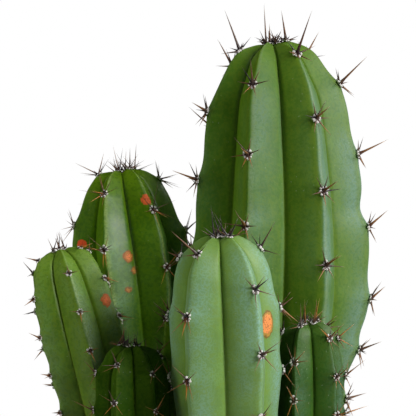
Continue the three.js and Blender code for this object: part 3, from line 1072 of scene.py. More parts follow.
@dataclass(frozen=True)
class PottingSoil:
    """Loose potting soil: dark crumbs of peat and loam, dry and matt on top, with a few pale flecks."""

    name: str = "potting soil, loose"

    def material(self) -> bpy.types.Material:
        """Builds the material, on Object coordinates, with crumbs of 2 mm in clods of 6 mm.

        Returns:
            The material.
        """
        material, tree, shader = new_material(self.name)
        place = add_node(tree, "TexCoord", out="Object")
        crumbs = add_node(tree, "TexVoronoi", {"Vector": place, "Scale": 1 / (2 * MM)}, "Color")
        earth = add_node(tree, "TexNoise", {"Vector": place, "Scale": 1 / (6 * MM), "Detail": 6.0})
        tint = add_node(tree, "SeparateColor", {0: crumbs})
        pale = {"Value": tint, "From Min": 0.82, "From Max": 0.86, "To Max": 0.6}
        fleck = add_node(tree, "MapRange", pale)
        colour = linear(SOIL_DARK)
        for mask, paint in ((earth, SOIL_LIGHT), (fleck, SOIL_FLECK)):
            laid = {SHARE: mask, UNDER: colour, OVER: linear(paint)}
            colour = add_node(tree, "Mix", laid, MIXED, data_type="RGBA")
        depth = crumbs.node.outputs["Distance"]
        relief = add_node(tree, "Math", {0: depth, 1: -1.0, 2: earth}, operation="MULTIPLY_ADD")
        bump = add_node(tree, "Bump", {"Strength": 0.9, "Distance": 1.5 * MM, "Height": relief})
        feed(tree, shader, {"Base Color": colour, "Normal": bump, "Roughness": 0.95})
        return material


@dataclass(frozen=True)
class CrushedGrit:
    """Crushed pumice and lava grit: angular, porous grains from pale grey to rust brown, and matt."""

    name: str = "pumice and lava grit, crushed"

    def material(self) -> bpy.types.Material:
        """Builds the material. It reads the grains' attribute tone, which picks each grain's stone.

        Returns:
            The material.
        """
        material, tree, shader = new_material(self.name)
        place = add_node(tree, "TexCoord", out="Object")
        tone = add_node(tree, "Attribute", out="Fac", attribute_name="tone")
        pores = add_node(tree, "TexNoise", {"Vector": place, "Scale": 1 / (0.7 * MM), "Detail": 3.0})
        colour = linear(GRIT_LAVA)
        picks = (
            ({"Value": tone, "From Min": 0.18, "From Max": 0.22}, GRIT_BROWN),
            ({"Value": tone, "From Min": 0.45, "From Max": 0.50}, GRIT_GREY),
            ({"Value": tone, "From Min": 0.74, "From Max": 0.78}, GRIT_PUMICE),
            ({"Value": pores, "From Min": 0.35, "From Max": 0.6, "To Min": 0.6, "To Max": 0.0}, SOIL_DARK),
        )
        for pick, paint in picks:
            mask = add_node(tree, "MapRange", pick)
            laid = {SHARE: mask, UNDER: colour, OVER: linear(paint)}
            colour = add_node(tree, "Mix", laid, MIXED, data_type="RGBA")
        bump = add_node(tree, "Bump", {"Strength": 0.6, "Distance": 0.4 * MM, "Height": pores})
        feed(tree, shader, {"Base Color": colour, "Normal": bump, "Roughness": 0.9})
        return material


@dataclass(frozen=True)
class Areoles:
    """A stem's areoles as arrays.

    arc is the length along the crest, rib and row name the areole, and at is its point, in millimetres.
    out, up and side are unit vectors out of the skin, up the rib and across it.
    """

    arc: np.ndarray
    rib: np.ndarray
    row: np.ndarray
    at: np.ndarray
    out: np.ndarray
    up: np.ndarray
    side: np.ndarray


@dataclass(frozen=True)
class Needles:
    """Spines as arrays.

    areole is the areole's number, and way the direction as shares out, up and across. length is the
    spine's length, thick its foot's thickness and off how far its foot stands from the areole's middle, in
    millimetres. tone runs from 0, a dark spine, to 1, a pale one.
    """

    areole: np.ndarray
    way: np.ndarray
    length: np.ndarray
    thick: np.ndarray
    off: np.ndarray
    tone: np.ndarray

    def joined(self, more: "Needles") -> "Needles":
        """These spines with more of them at the end."""
        names = [field.name for field in fields(self)]
        return Needles(*(np.concatenate([getattr(self, name), getattr(more, name)]) for name in names))


@dataclass
class StemPiece:
    """Builds and dresses one stem: its skin, its spines and its wool."""

    stem: Stem
    finish: WaxySkin
    slot: Slot
    seed: int

    def build(
        self, spine: bpy.types.Material, wool: bpy.types.Material, others: list[Stem]
    ) -> list[bpy.types.Object]:
        """Builds the stem's three pieces.

        Args:
            spine: The spines' material.
            wool: The wool's material.
            others: The stems that its spines keep clear of.

        Returns:
            The skin, the spines and the wool.
        """
        skin = dress(self.build_skin(), self.finish.material())
        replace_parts(skin, self.stem.name)
        spines = dress(self.build_spines(others), spine)
        felt = dress(self.build_wool(), wool)
        return [skin, spines, felt]

    def columns(self) -> np.ndarray:
        """The grid's places round the stem, in ribs. They crowd at the crests and in the furrows."""
        even = np.arange(self.stem.ribs * COLUMNS_PER_RIB) / COLUMNS_PER_RIB
        return even - COLUMN_CROWDING * np.sin(4 * np.pi * even) / (4 * np.pi)

    def build_skin(self) -> bpy.types.Object:
        """The ribbed skin, from the tip to the bottom of the stem's hole.

        It is the surface Stem.skin on a grid of lengths and places round, closed below by circles of the
        foot's radius. Its points carry their distance from the crest as across, from 0 to 1 in the furrow,
        and as flank, a sine that tells the sides apart. They also carry their length along the crest and
        their place in a scar.

        Returns:
            The skin.
        """
        stem = self.stem
        last = stem.run[1][-1]
        arcs = np.concatenate([TIP_ROWS, np.arange(ROW_PITCH, last, ROW_PITCH), [last]])
        arc, around = np.meshgrid(arcs, self.columns(), indexing="ij")
        foot_depths = FOOT_ROWS * (STEM_BURIED + FOOT_COLLAR)
        angle = stem.bearing(self.columns(), stem.run[0][-1])
        radius = stem.girth[-1][1]
        circle = np.stack([radius * np.sin(angle), -radius * np.cos(angle), 0 * angle], axis=-1)
        top = np.array([*stem.foot, SOIL_TOP + FOOT_COLLAR])
        seats = top - foot_depths[:, None] * np.array([0.0, 0.0, 1.0])
        rings = np.concatenate([stem.skin(arc, around), circle[None] + seats[:, None]])
        tip = np.array(stem.tip) - np.array([0.0, 0.0, TIP_SINK])
        shell = tube_shell(rings, tip, seats[-1])
        level, tone = stem.scar_level(arc, around, stem.depth_at(arc))
        beside = around - np.round(around)
        below = len(FOOT_ROWS) * len(angle) + 1
        columns = {
            "across": (0.0, 2 * np.abs(beside), 0.0),
            "flank": (0.0, np.sin(2 * np.pi * beside), 0.0),
            "arc": (0.0, arc, last),
            "scar": (NO_SCAR, level, NO_SCAR),
            "scar_tone": (0.0, tone, 0.0),
        }
        values = {
            key: np.concatenate([[first], grid.ravel(), np.full(below, end)])
            for key, (first, grid, end) in columns.items()
        }
        return mesh_piece(f"{stem.name}_skin", shell, **values)

    def areoles(self) -> Areoles:
        """Finds the areoles of every rib, from the tip down, with the directions at each of them.

        Returns:
            The areoles.
        """
        stem = self.stem
        bare = stem.tip[2] - SOIL_TOP - BARE_ABOVE_SOIL
        last = np.interp(bare, *stem.run)
        arcs, ribs, rows = [], [], []
        for rib in range(stem.ribs):
            steps = np.arange(stem.steps_down(stem.areole_start[rib]), stem.steps_down(last))
            row = np.interp(steps, stem.steps_down(stem.run[1]), stem.run[1])
            row = np.concatenate([[TUFT_ARC], row[row > TUFT_ARC + TUFT_GAP]])
            arcs.append(row)
            ribs.append(np.full(row.shape, rib))
            rows.append(np.arange(len(row)))
        arc, rib = np.concatenate(arcs), np.concatenate(ribs)
        _, along, right, back = stem.axis(stem.tip[2] - stem.depth_at(arc))
        angle = stem.bearing(rib, stem.depth_at(arc))[:, None]
        radial = right * np.sin(angle) - back * np.cos(angle)
        across_share, along_share = (part[:, None] for part in stem.crest_normal(stem.depth_at(arc)))
        out = radial * across_share + along * along_share
        up = along * across_share - radial * along_share
        return Areoles(
            arc=arc,
            rib=rib,
            row=np.concatenate(rows),
            at=stem.skin(arc, rib.astype(float)),
            out=out,
            up=up,
            side=np.cross(out, up),
        )

    def spine_layout(self, areoles: Areoles) -> Needles:
        """Draws the spines of every areole by a seeded rule, and adds the leaders.

        An areole has one central spine, which stands out and leans up the rib, and its rays, evenly set
        round it and drawn a little out of place, which lie nearer the skin. At the tip they are short and
        stand up, and every second ray is missing. The longest stand below the tip, and they get shorter
        down the rib. Where an areole has a leader, the leader takes the place of its central spine.

        Args:
            areoles: The stem's areoles.

        Returns:
            The spines.
        """
        arms = self.stem.arms
        draw = np.random.default_rng(self.seed)
        count, rays = len(areoles.arc), arms.rays
        fresh = areoles.row == 0
        age = np.clip(areoles.arc / OLD_ARC, 0, 1)
        tan = arms.tan * np.where(fresh, TUFT_TAN, np.clip(areoles.arc / GROWN_ARC, YOUNG_TAN, 1))
        grown = np.clip(YOUNG_SHARE + areoles.arc / GROWN_ARC, 0, 1)

        rise, sway = draw.uniform(*CENTRAL_RISE, count), draw.uniform(*CENTRAL_SWAY, count)
        size = np.where(fresh, arms.tuft, arms.central * (YOUNG_LENGTH - (YOUNG_LENGTH - OLD_LENGTH) * age))
        central = Needles(
            areole=np.arange(count),
            way=np.stack([np.full(count, CENTRAL_OUT), rise, sway], axis=-1),
            length=size * draw.uniform(*CENTRAL_SIZE, count),
            thick=np.full(count, arms.girth) * np.where(fresh, TUFT_GIRTH, 1.0),
            off=np.zeros(count),
            tone=np.clip(tan + draw.normal(0, TONE_SPREAD, count), 0, 1),
        )

        shape = (count, rays)
        even = 360 * (np.arange(rays) + 0.5) / rays
        turn = np.radians(even + draw.uniform(*RING_TURN, (count, 1)) + draw.uniform(*RAY_TURN, shape))
        lean = arms.lean + draw.uniform(*RAY_LEAN, shape) + np.where(fresh, TUFT_LEAN, 0.0)[:, None]
        size = arms.radial * grown[:, None] * draw.uniform(*RAY_SIZE, shape)
        size[fresh, 1::2] = 0.0
        down = np.maximum(0.0, -np.cos(turn))
        tone = tan[:, None] * (UPPER_TAN + LOWER_TAN * down) + draw.normal(0, TONE_SPREAD, shape)
        leaders = self.leaders(areoles)
        central.length[leaders.areole] = 0.0
        ray = Needles(
            areole=np.repeat(np.arange(count), rays),
            way=np.stack([lean, np.cos(turn), np.sin(turn)], axis=-1).reshape(-1, 3),
            length=size.ravel(),
            thick=np.full(count * rays, arms.girth * RAY_GIRTH),
            off=np.full(count * rays, RAY_FOOT * arms.felt),
            tone=np.clip(tone, 0, 1).ravel(),
        )
        return central.joined(leaders).joined(ray)

    def leaders(self, areoles: Areoles) -> Needles:
        """The stem's leaders as spines.

        A leader's direction is its rib's bearing turned by its sway, raised by its rise.

        Args:
            areoles: The stem's areoles.

        Returns:
            The spines.
        """
        arms = self.stem.arms
        rows = np.array([astuple(lead) for lead in arms.leaders]).reshape(-1, len(fields(Leader)))
        rib, row, rise, length, sway, tone = rows.T
        here = (areoles.rib == rib[:, None]) & (areoles.row == row[:, None])
        areole = np.argmax(here, axis=1)
        turn = self.stem.bearing(rib, self.stem.depth_at(areoles.arc[areole])) + np.radians(sway)
        rise = np.radians(rise)
        way = np.stack([np.sin(turn) * np.cos(rise), -np.cos(turn) * np.cos(rise), np.sin(rise)], axis=-1)
        shares = [(way * axis[areole]).sum(axis=1) for axis in (areoles.out, areoles.up, areoles.side)]
        return Needles(
            areole=areole,
            way=np.stack(shares, axis=-1).reshape(-1, 3),
            length=length,
            thick=arms.girth * np.where(areoles.row[areole] == 0, LEADER_TUFT_GIRTH, 1.0),
            off=np.full(len(length), LEADER_FOOT * arms.felt),
            tone=tone,
        )

    def clear(self, roots: np.ndarray, tips: np.ndarray, others: list[Stem]) -> np.ndarray:
        """Whether spines keep clear of the soil and of the other stems.

        Args:
            roots: The spines' feet.
            tips: Their tips.
            others: The other stems.

        Returns:
            One truth value for each spine.
        """
        free = tips[:, 2] > SOIL_TOP + SPINE_CLEARANCE
        share = np.linspace(0, 1, SPINE_TESTS)[None, :, None]
        path = roots[:, None] * (1 - share) + tips[:, None] * share
        for stem in others:
            depth = stem.tip[2] - path[..., 2]
            centre = stem.axis(path[..., 2])[0]
            away = np.linalg.norm(path[..., :2] - centre[..., :2], axis=-1)
            wide = stem.crest_radius(depth + SPINE_CLEARANCE) + SPINE_CLEARANCE
            free &= ~((away < wide) & (depth > -SPINE_CLEARANCE)).any(axis=1)
        return free

    def placed(
        self, areoles: Areoles, needles: Needles, others: list[Stem]
    ) -> tuple[np.ndarray, np.ndarray, np.ndarray]:
        """Sets the spines on their areoles, and turns one that would touch something along its rib.

        Args:
            areoles: The stem's areoles.
            needles: The spines.
            others: The stems that they keep clear of.

        Returns:
            Which spines have a clear way, with the feet and the directions of all.
        """
        at, out, up, side = (
            part[needles.areole] for part in (areoles.at, areoles.out, areoles.up, areoles.side)
        )
        spread = needles.off[:, None] * unit(needles.way[:, 1:])
        root = at + up * spread[:, :1] + side * spread[:, 1:] + SPINE_LIFT * out
        chosen = np.zeros((len(root), 3))
        placed = np.zeros(len(root), bool)
        for bend in SPINE_BENDS:
            way = out * needles.way[:, :1] + up * (needles.way[:, 1:2] + bend) + side * needles.way[:, 2:]
            heading = unit(way)
            fits = self.clear(root, root + heading * needles.length[:, None], others)
            fits &= ~placed & (needles.length > 0)
            chosen[fits] = heading[fits]
            placed |= fits
        return placed, root, chosen

    def build_spines(self, others: list[Stem]) -> bpy.types.Object:
        """All the stem's spines as one piece.

        A spine is a tapered tube round a slightly bent line: the foot, plus the direction times the length
        times the share along it, plus a bend that grows with the square of the share. It is swollen at its
        foot.

        Args:
            others: The stems that the spines keep clear of.

        Returns:
            The piece.
        """
        draw = np.random.default_rng(self.seed + 1)
        areoles = self.areoles()
        needles = self.spine_layout(areoles)
        placed, root, heading = self.placed(areoles, needles, others)
        root, heading = root[placed], heading[placed]
        length, thick, tone = needles.length[placed], needles.thick[placed], needles.tone[placed]
        upright = np.abs(heading[:, 2:]) >= NEARLY_UPRIGHT
        first = unit(np.cross(heading, np.where(upright, [[1.0, 0.0, 0.0]], [[0.0, 0.0, 1.0]])))
        second = np.cross(heading, first)
        bend_turn = draw.uniform(0, 2 * np.pi, len(root))[:, None]
        bend_way = first * np.cos(bend_turn) + second * np.sin(bend_turn)
        bow = bend_way * (length * draw.uniform(0.0, SPINE_BOW, len(root)))[:, None]
        share = np.append(SPINE_RINGS, 1.0)
        line = (
            root[:, None]
            + heading[:, None] * (share[None, :, None] * length[:, None, None])
            + bow[:, None] * (share**2)[None, :, None]
        )
        swollen = 1 + SPINE_SWELL * np.exp(-((share[None] * length[:, None] / SPINE_SWELL_LENGTH) ** 2))
        radius = thick[:, None] / 2 * np.clip(1 - share, 0, 1)[None] ** SPINE_TAPER * swollen
        turn = -np.arange(SPINE_SIDES) * 2 * np.pi / SPINE_SIDES
        ring = (
            first[:, None, None] * np.cos(turn)[None, None, :, None]
            + second[:, None, None] * np.sin(turn)[None, None, :, None]
        )
        rings = line[:, :-1, None] + ring * radius[:, :-1, None, None]
        points = np.concatenate([line[:, :1], rings.reshape(len(root), -1, 3), line[:, -1:]], axis=1)
        shell = repeat_shell(tube_shell(rings[0], line[0, 0], line[0, -1]), points)
        along = np.concatenate([[0.0], np.repeat(np.maximum(SPINE_RINGS, 0), SPINE_SIDES), [1.0]])
        return mesh_piece(
            f"{self.stem.name}_spines",
            shell,
            along=np.tile(along, len(root)),
            tone=np.repeat(tone, points.shape[1]),
        )

    def build_wool(self) -> bpy.types.Object:
        """The areoles' wool as one piece: a low dark pad in each, with a ring of white tufts round it.

        Pads and tufts are balls of a few faces, flattened against the skin and drawn uneven.

        Returns:
            The wool.
        """
        arms = self.stem.arms
        draw = np.random.default_rng(self.seed + 2)
        areoles = self.areoles()
        at, out, up, side = areoles.at, areoles.out, areoles.up, areoles.side
        count = len(areoles.arc)
        shape = (count, arms.beads)
        grown = np.clip(WOOL_YOUNG + areoles.arc / WOOL_GROWN_ARC, 0, 1)
        ring = arms.felt * np.where(areoles.row == 0, WOOL_TUFT, grown)[:, None]
        turn = 2 * np.pi * (np.arange(arms.beads)[None] + draw.uniform(*BEAD_TURN, shape)) / arms.beads
        reach = ring * draw.uniform(*BEAD_REACH, shape)
        centre = (
            at[:, None]
            + up[:, None] * (reach * np.cos(turn))[..., None]
            + side[:, None] * (reach * np.sin(turn))[..., None]
            + BEAD_LIFT * out[:, None]
        )
        bead_size = (ring * WOOL_BEAD * draw.uniform(*BEAD_SIZE, shape)).ravel()
        centre = np.concatenate([centre.reshape(-1, 3), at - PAD_SINK * out])
        size = np.concatenate([bead_size, (ring * WOOL_PAD).ravel()])
        flat = np.repeat([BEAD_FLATNESS, PAD_FLATNESS], [len(bead_size), count])
        tone = np.repeat([1.0, 0.0], [len(bead_size), count])
        owner = np.concatenate([np.repeat(np.arange(count), arms.beads), np.arange(count)])
        polar = (np.pi * (np.arange(WOOL_ROWS) + 1) / (WOOL_ROWS + 1))[:, None]
        circle = -2 * np.pi * np.arange(WOOL_SIDES) / WOOL_SIDES
        flat_x, flat_y = np.sin(polar) * np.cos(circle), np.sin(polar) * np.sin(circle)
        ball = np.stack([flat_x, flat_y, np.cos(polar) + 0 * circle], axis=-1)
        pattern = tube_shell(ball, np.array([0.0, 0.0, 1.0]), np.array([0.0, 0.0, -1.0]))
        uneven = draw.uniform(*WOOL_UNEVENNESS, (len(size), len(pattern.points)))[..., None]
        local = pattern.points[None] * uneven * size[:, None, None]
        points = (
            centre[:, None]
            + local[..., :1] * up[owner][:, None]
            - local[..., 1:2] * side[owner][:, None]
            + local[..., 2:] * flat[:, None, None] * out[owner][:, None]
        )
        tones = np.repeat(tone, points.shape[1])
        return mesh_piece(f"{self.stem.name}_wool", repeat_shell(pattern, points), tone=tones)


@dataclass
class Pot:
    """The clay pot: a tapered wall with a plain band as its rim, and drain holes in its floor.

    segments, corner_steps and wall_step lay out the wall: places round it, points on a corner, and the
    length of a step on a straight run. The outline starts and ends at middle_radius. shoulder_edge and
    inner_edge round the corner under the rim and the one on the floor. ring_height and ring_length are
    those of the turning rings, which start above foot_band. Sizes are in millimetres. Faces that meet at
    more than sharp_angle degrees are shaded with an edge.
    """

    segments: int = 144
    corner_steps: int = 5
    wall_step: float = 4.0
    middle_radius: float = 0.5
    shoulder_edge: float = 1.0
    inner_edge: float = 2.0
    foot_band: float = 1.0
    ring_height: float = 0.12
    ring_length: float = 5.3
    drain_sides: int = 32
    sharp_angle: float = 50.0

    def profile(self) -> np.ndarray:
        """The wall's outline as (radius, height): straight runs, with each outer corner rounded as a curve.

        A corner's curve is the quadratic one that leaves both runs along their own direction.

        Returns:
            The outline, from the middle of the base over the rim to the middle of the floor.
        """
        rim_foot = POT_HEIGHT - POT_RIM_HEIGHT
        corners = (
            (self.middle_radius, 0.0, 0.0),
            (POT_BASE_RADIUS, 0.0, POT_EDGE),
            (POT_SHOULDER_RADIUS, rim_foot, self.shoulder_edge),
            (POT_RIM_RADIUS, rim_foot, POT_EDGE),
            (POT_RIM_RADIUS, POT_HEIGHT, POT_EDGE),
            (POT_INNER_TOP_RADIUS, POT_HEIGHT, POT_EDGE),
            (POT_INNER_BASE_RADIUS, POT_FLOOR, self.inner_edge),
            (self.middle_radius, POT_FLOOR, 0.0),
        )
        spots = np.array([corner[:2] for corner in corners])
        cut = np.array([corner[2] for corner in corners])
        line = []
        for i, spot in enumerate(spots):
            if cut[i] == 0:
                line.append(spot[None])
                continue
            before = spot + unit(spots[i - 1] - spot) * cut[i]
            after = spot + unit(spots[i + 1] - spot) * cut[i]
            t = np.linspace(0, 1, self.corner_steps)[:, None]
            line.append((1 - t) ** 2 * before + 2 * t * (1 - t) * spot + t**2 * after)
        dense = [line[0]]
        for a, b in zip(line[:-1], line[1:]):
            run = np.linalg.norm(b[0] - a[-1])
            steps = max(int(run / self.wall_step), 1)
            share = (np.arange(1, steps) / steps)[:, None]
            dense += [a[-1] + (b[0] - a[-1]) * share, b]
        return np.concatenate(dense)

    def build(self, clay: bpy.types.Material) -> bpy.types.Object:
        """Turns the profile about the axis, drills the drain holes and dresses the pot.

        The outer wall's radius waves a little with height, as turning leaves it: the height of a turning
        ring times the sine of the height over the rings' length.

        Args:
            clay: Its material.

        Returns:
            The pot.
        """
        radius, height = self.profile().T
        outer = (height > self.foot_band) & (radius > POT_BASE_RADIUS)
        ring = self.ring_height * (1 + np.sin(height / self.ring_length * 2 * np.pi))
        radius, height = (radius - np.where(outer, ring, 0))[:, None], height[:, None]
        angle = np.arange(self.segments) * 2 * np.pi / self.segments
        rings = np.stack([radius * np.cos(angle), radius * np.sin(angle), height + 0 * angle], axis=-1)
        shell = tube_shell(rings[::-1], np.array([0.0, 0.0, POT_FLOOR]), np.array([0.0, 0.0, 0.0]))
        pot = mesh_piece("pot_clay", shell)
        self.drill(pot)
        dress(pot, clay)
        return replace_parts(pot, "pot")

    def drill(self, pot: bpy.types.Object) -> None:
        """Cuts the drain holes through the floor with upright cylinders.

        Args:
            pot: The pot. It gets the drilled mesh.
        """
        sides = np.arange(self.drain_sides)
        angle = sides * 2 * np.pi / self.drain_sides
        circle = np.stack([DRAIN_RADIUS * np.cos(angle), DRAIN_RADIUS * np.sin(angle)], axis=-1)
        levels = np.array([2.0, -1.0]) * POT_FLOOR
        for i in range(DRAIN_COUNT):
            turn = (i + 0.5) / DRAIN_COUNT * 2 * math.pi
            middle = DRAIN_CIRCLE * np.array([math.cos(turn), math.sin(turn)])
            rings = np.stack([np.column_stack([circle + middle, 0 * sides + level]) for level in levels])
            ends = [np.append(middle, level) for level in levels]
            bit = mesh_piece(f"drill_{i}", tube_shell(rings, ends[0], ends[1]))
            cut = pot.modifiers.new("drain", "BOOLEAN")
            cut.operation = "DIFFERENCE"
            cut.object = bit
            bpy.context.view_layer.update()
            graph = bpy.context.evaluated_depsgraph_get()
            drilled = bpy.data.meshes.new_from_object(pot.evaluated_get(graph))
            pot.modifiers.clear()
            pot.data = drilled
            bpy.data.objects.remove(bit)
        pot.data.set_sharp_from_angle(angle=math.radians(self.sharp_angle))


@dataclass
class Bed:
    """The soil in the pot, with loose grit on it.

    rings, segments and wall_rows lay out the soil, whose side starts wall_top below its level.
    heap_height and heap_reach are those of the heap at a stem's foot. From rim_start inside the pot's
    mouth outwards the soil falls, by rim_fall over rim_reach. grain_radii holds the least and the
    greatest radius of a grain, and the higher grain_bias is, the more of them are small. They keep
    grain_gap from the stems and grain_edge from the soil's edge. grain_stretch, grain_roughness and
    grain_lift are pairs of shares of the radius. Sizes are in millimetres.
    """

    stems: list[Stem]
    rings: int = 70
    segments: int = 200
    wall_rows: int = 6
    wall_start: float = 0.03
    wall_top: float = 2.0
    unevenness: float = 0.63
    wave_lengths: tuple[float, float] = (7.0, 34.0)
    wave_count: int = 26
    heap_height: float = 2.0
    heap_reach: float = 5.0
    rim_start: float = 4.0
    rim_reach: float = 8.0
    rim_fall: float = 2.0
    grains: int = 1700
    grain_radii: tuple[float, float] = (0.9, 3.2)
    grain_bias: float = 2.2
    grain_gap: float = 0.5
    grain_edge: float = 3.5
    grain_stretch: tuple[float, float] = (0.65, 1.15)
    grain_roughness: tuple[float, float] = (0.82, 1.12)
    grain_lift: tuple[float, float] = (0.15, 0.6)
    seed: int = 7

    def top(self, x: np.ndarray, y: np.ndarray) -> np.ndarray:
        """The soil's height: its level plus random waves and a heap at each stem, less a fall at the wall.

        Args:
            x: Places along X.
            y: Places along Y.

        Returns:
            The heights.
        """
        heap = np.zeros(x.shape)
        for stem in self.stems:
            away = np.hypot(x - stem.foot[0], y - stem.foot[1]) - stem.girth[-1][1]
            near = np.exp(-((np.maximum(away, 0) / self.heap_reach) ** 2))
            heap = np.maximum(heap, self.heap_height * near)
        rim = np.clip((POT_INNER_TOP_RADIUS - self.rim_start - np.hypot(x, y)) / self.rim_reach, -1, 0)
        uneven = self.unevenness * waves(x, y, self.wave_lengths, self.wave_count, self.seed)
        return SOIL_TOP + uneven + heap + self.rim_fall * rim

    def build(self, soil: bpy.types.Material, grit: bpy.types.Material) -> list[bpy.types.Object]:
        """Builds the soil and the grit.

        Args:
            soil: The soil's material.
            grit: The grit's material.

        Returns:
            The two pieces.
        """
        filled = (SOIL_TOP - POT_FLOOR) / (POT_HEIGHT - POT_FLOOR)
        edge = POT_INNER_BASE_RADIUS + (POT_INNER_TOP_RADIUS - POT_INNER_BASE_RADIUS) * filled - SOIL_GAP
        foot = POT_INNER_BASE_RADIUS - SOIL_GAP
        angle = np.arange(self.segments) * 2 * np.pi / self.segments
        radii = edge * np.linspace(1 / self.rings, 1, self.rings)
        x, y = radii[:, None] * np.cos(angle), radii[:, None] * np.sin(angle)
        cover = np.stack([x, y, self.top(x, y)], axis=-1)
        share = np.linspace(self.wall_start, 1, self.wall_rows)[:, None]
        radius = edge + (foot - edge) * share
        top, bottom = SOIL_TOP - self.wall_top, POT_FLOOR + SOIL_GAP
        height = top + (bottom - top) * share
        wall = np.stack([radius * np.cos(angle), radius * np.sin(angle), height + 0 * angle], axis=-1)
        middle = np.array([0.0, 0.0, self.top(np.zeros(1), np.zeros(1))[0]])
        shell = tube_shell(np.concatenate([cover, wall]), middle, np.array([0.0, 0.0, bottom]))
        bed = dress(mesh_piece("soil_bed", shell), soil)
        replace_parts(bed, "soil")
        return [bed, dress(self.scatter(edge), grit)]

    def scatter(self, edge: float) -> bpy.types.Object:
        """Scatters grains on the soil, clear of the stems' feet.

        A grain is a rough icosahedron, stretched and turned at random, and up to half of it is sunk.

        Args:
            edge: The soil's radius.

        Returns:
            The grains as one piece.
        """
        draw = np.random.default_rng(self.seed + 1)
        golden = (1 + math.sqrt(5)) / 2
        corners = [
            (-1, golden, 0), (1, golden, 0), (-1, -golden, 0), (1, -golden, 0),
            (0, -1, golden), (0, 1, golden), (0, -1, -golden), (0, 1, -golden),
            (golden, 0, -1), (golden, 0, 1), (-golden, 0, -1), (-golden, 0, 1),
        ]
        corners = np.array(corners) / math.hypot(1, golden)
        near = np.linalg.norm(corners[:, None] - corners[None], axis=-1) < ICOSAHEDRON_EDGE
        faces = []
        for a, b, c in combinations(range(len(corners)), 3):
            if near[a, b] and near[b, c] and near[a, c]:
                outward = np.dot(np.cross(corners[b] - corners[a], corners[c] - corners[a]), corners[a]) > 0
                faces.append((a, b, c) if outward else (a, c, b))
        pattern = Shell(corners, np.zeros((0, 4), int), np.array(faces))
        radius = (edge - self.grain_edge) * np.sqrt(draw.uniform(0, 1, self.grains))
        turn = draw.uniform(0, 2 * np.pi, self.grains)
        x, y = radius * np.cos(turn), radius * np.sin(turn)
        least, greatest = self.grain_radii
        size = draw.uniform(0, 1, self.grains) ** self.grain_bias * (greatest - least) + least
        free = np.ones(self.grains, bool)
        for stem in self.stems:
            away = np.hypot(x - stem.foot[0], y - stem.foot[1])
            free &= away > stem.girth[-1][1] + size + self.grain_gap
        x, y, size = x[free], y[free], size[free]
        count = len(x)
        frames = np.linalg.qr(draw.normal(size=(count, 3, 3)))[0]
        frames *= np.sign(np.linalg.det(frames))[:, None, None]
        stretch = draw.uniform(*self.grain_stretch, (count, 1, 3))
        rough = draw.uniform(*self.grain_roughness, (count, len(corners), 1))
        local = (corners[None] * rough * stretch * size[:, None, None]) @ frames
        middle = np.stack([x, y, self.top(x, y) + size * draw.uniform(*self.grain_lift, count)], axis=-1)
        points = middle[:, None] + local
        tone = np.repeat(draw.uniform(0, 1, count), len(corners))
        return mesh_piece("soil_grit", repeat_shell(pattern, points), smooth=False, tone=tone)


@dataclass(frozen=True)
class Lamp:
    """A soft box.

    azimuth is its way from the front towards +X and height its way above the horizontal, both in degrees.
    size is the length of its side in metres and power its power in watts. diffuse and gloss say what it
    lights: a soft box behind a grid gives a sheen and next to no light, and a bounced one gives light and
    no sheen.
    """

    name: str
    azimuth: float
    height: float
    size: float
    power: float
    diffuse: bool = True
    gloss: bool = True


LAMPS = (
    Lamp("key", azimuth=50, height=23, size=0.9, power=30),
    Lamp("side sheen", azimuth=92, height=22, size=1.0, power=24, diffuse=False),
    Lamp("top sheen", azimuth=20, height=65, size=0.7, power=4, diffuse=False),
    Lamp("bounce, left", azimuth=-88, height=12, size=1.0, power=13, gloss=False),
    Lamp("bounce, right", azimuth=125, height=38, size=1.0, power=8, gloss=False),
    Lamp("bounce, back", azimuth=180, height=12, size=1.0, power=12, gloss=False),
)


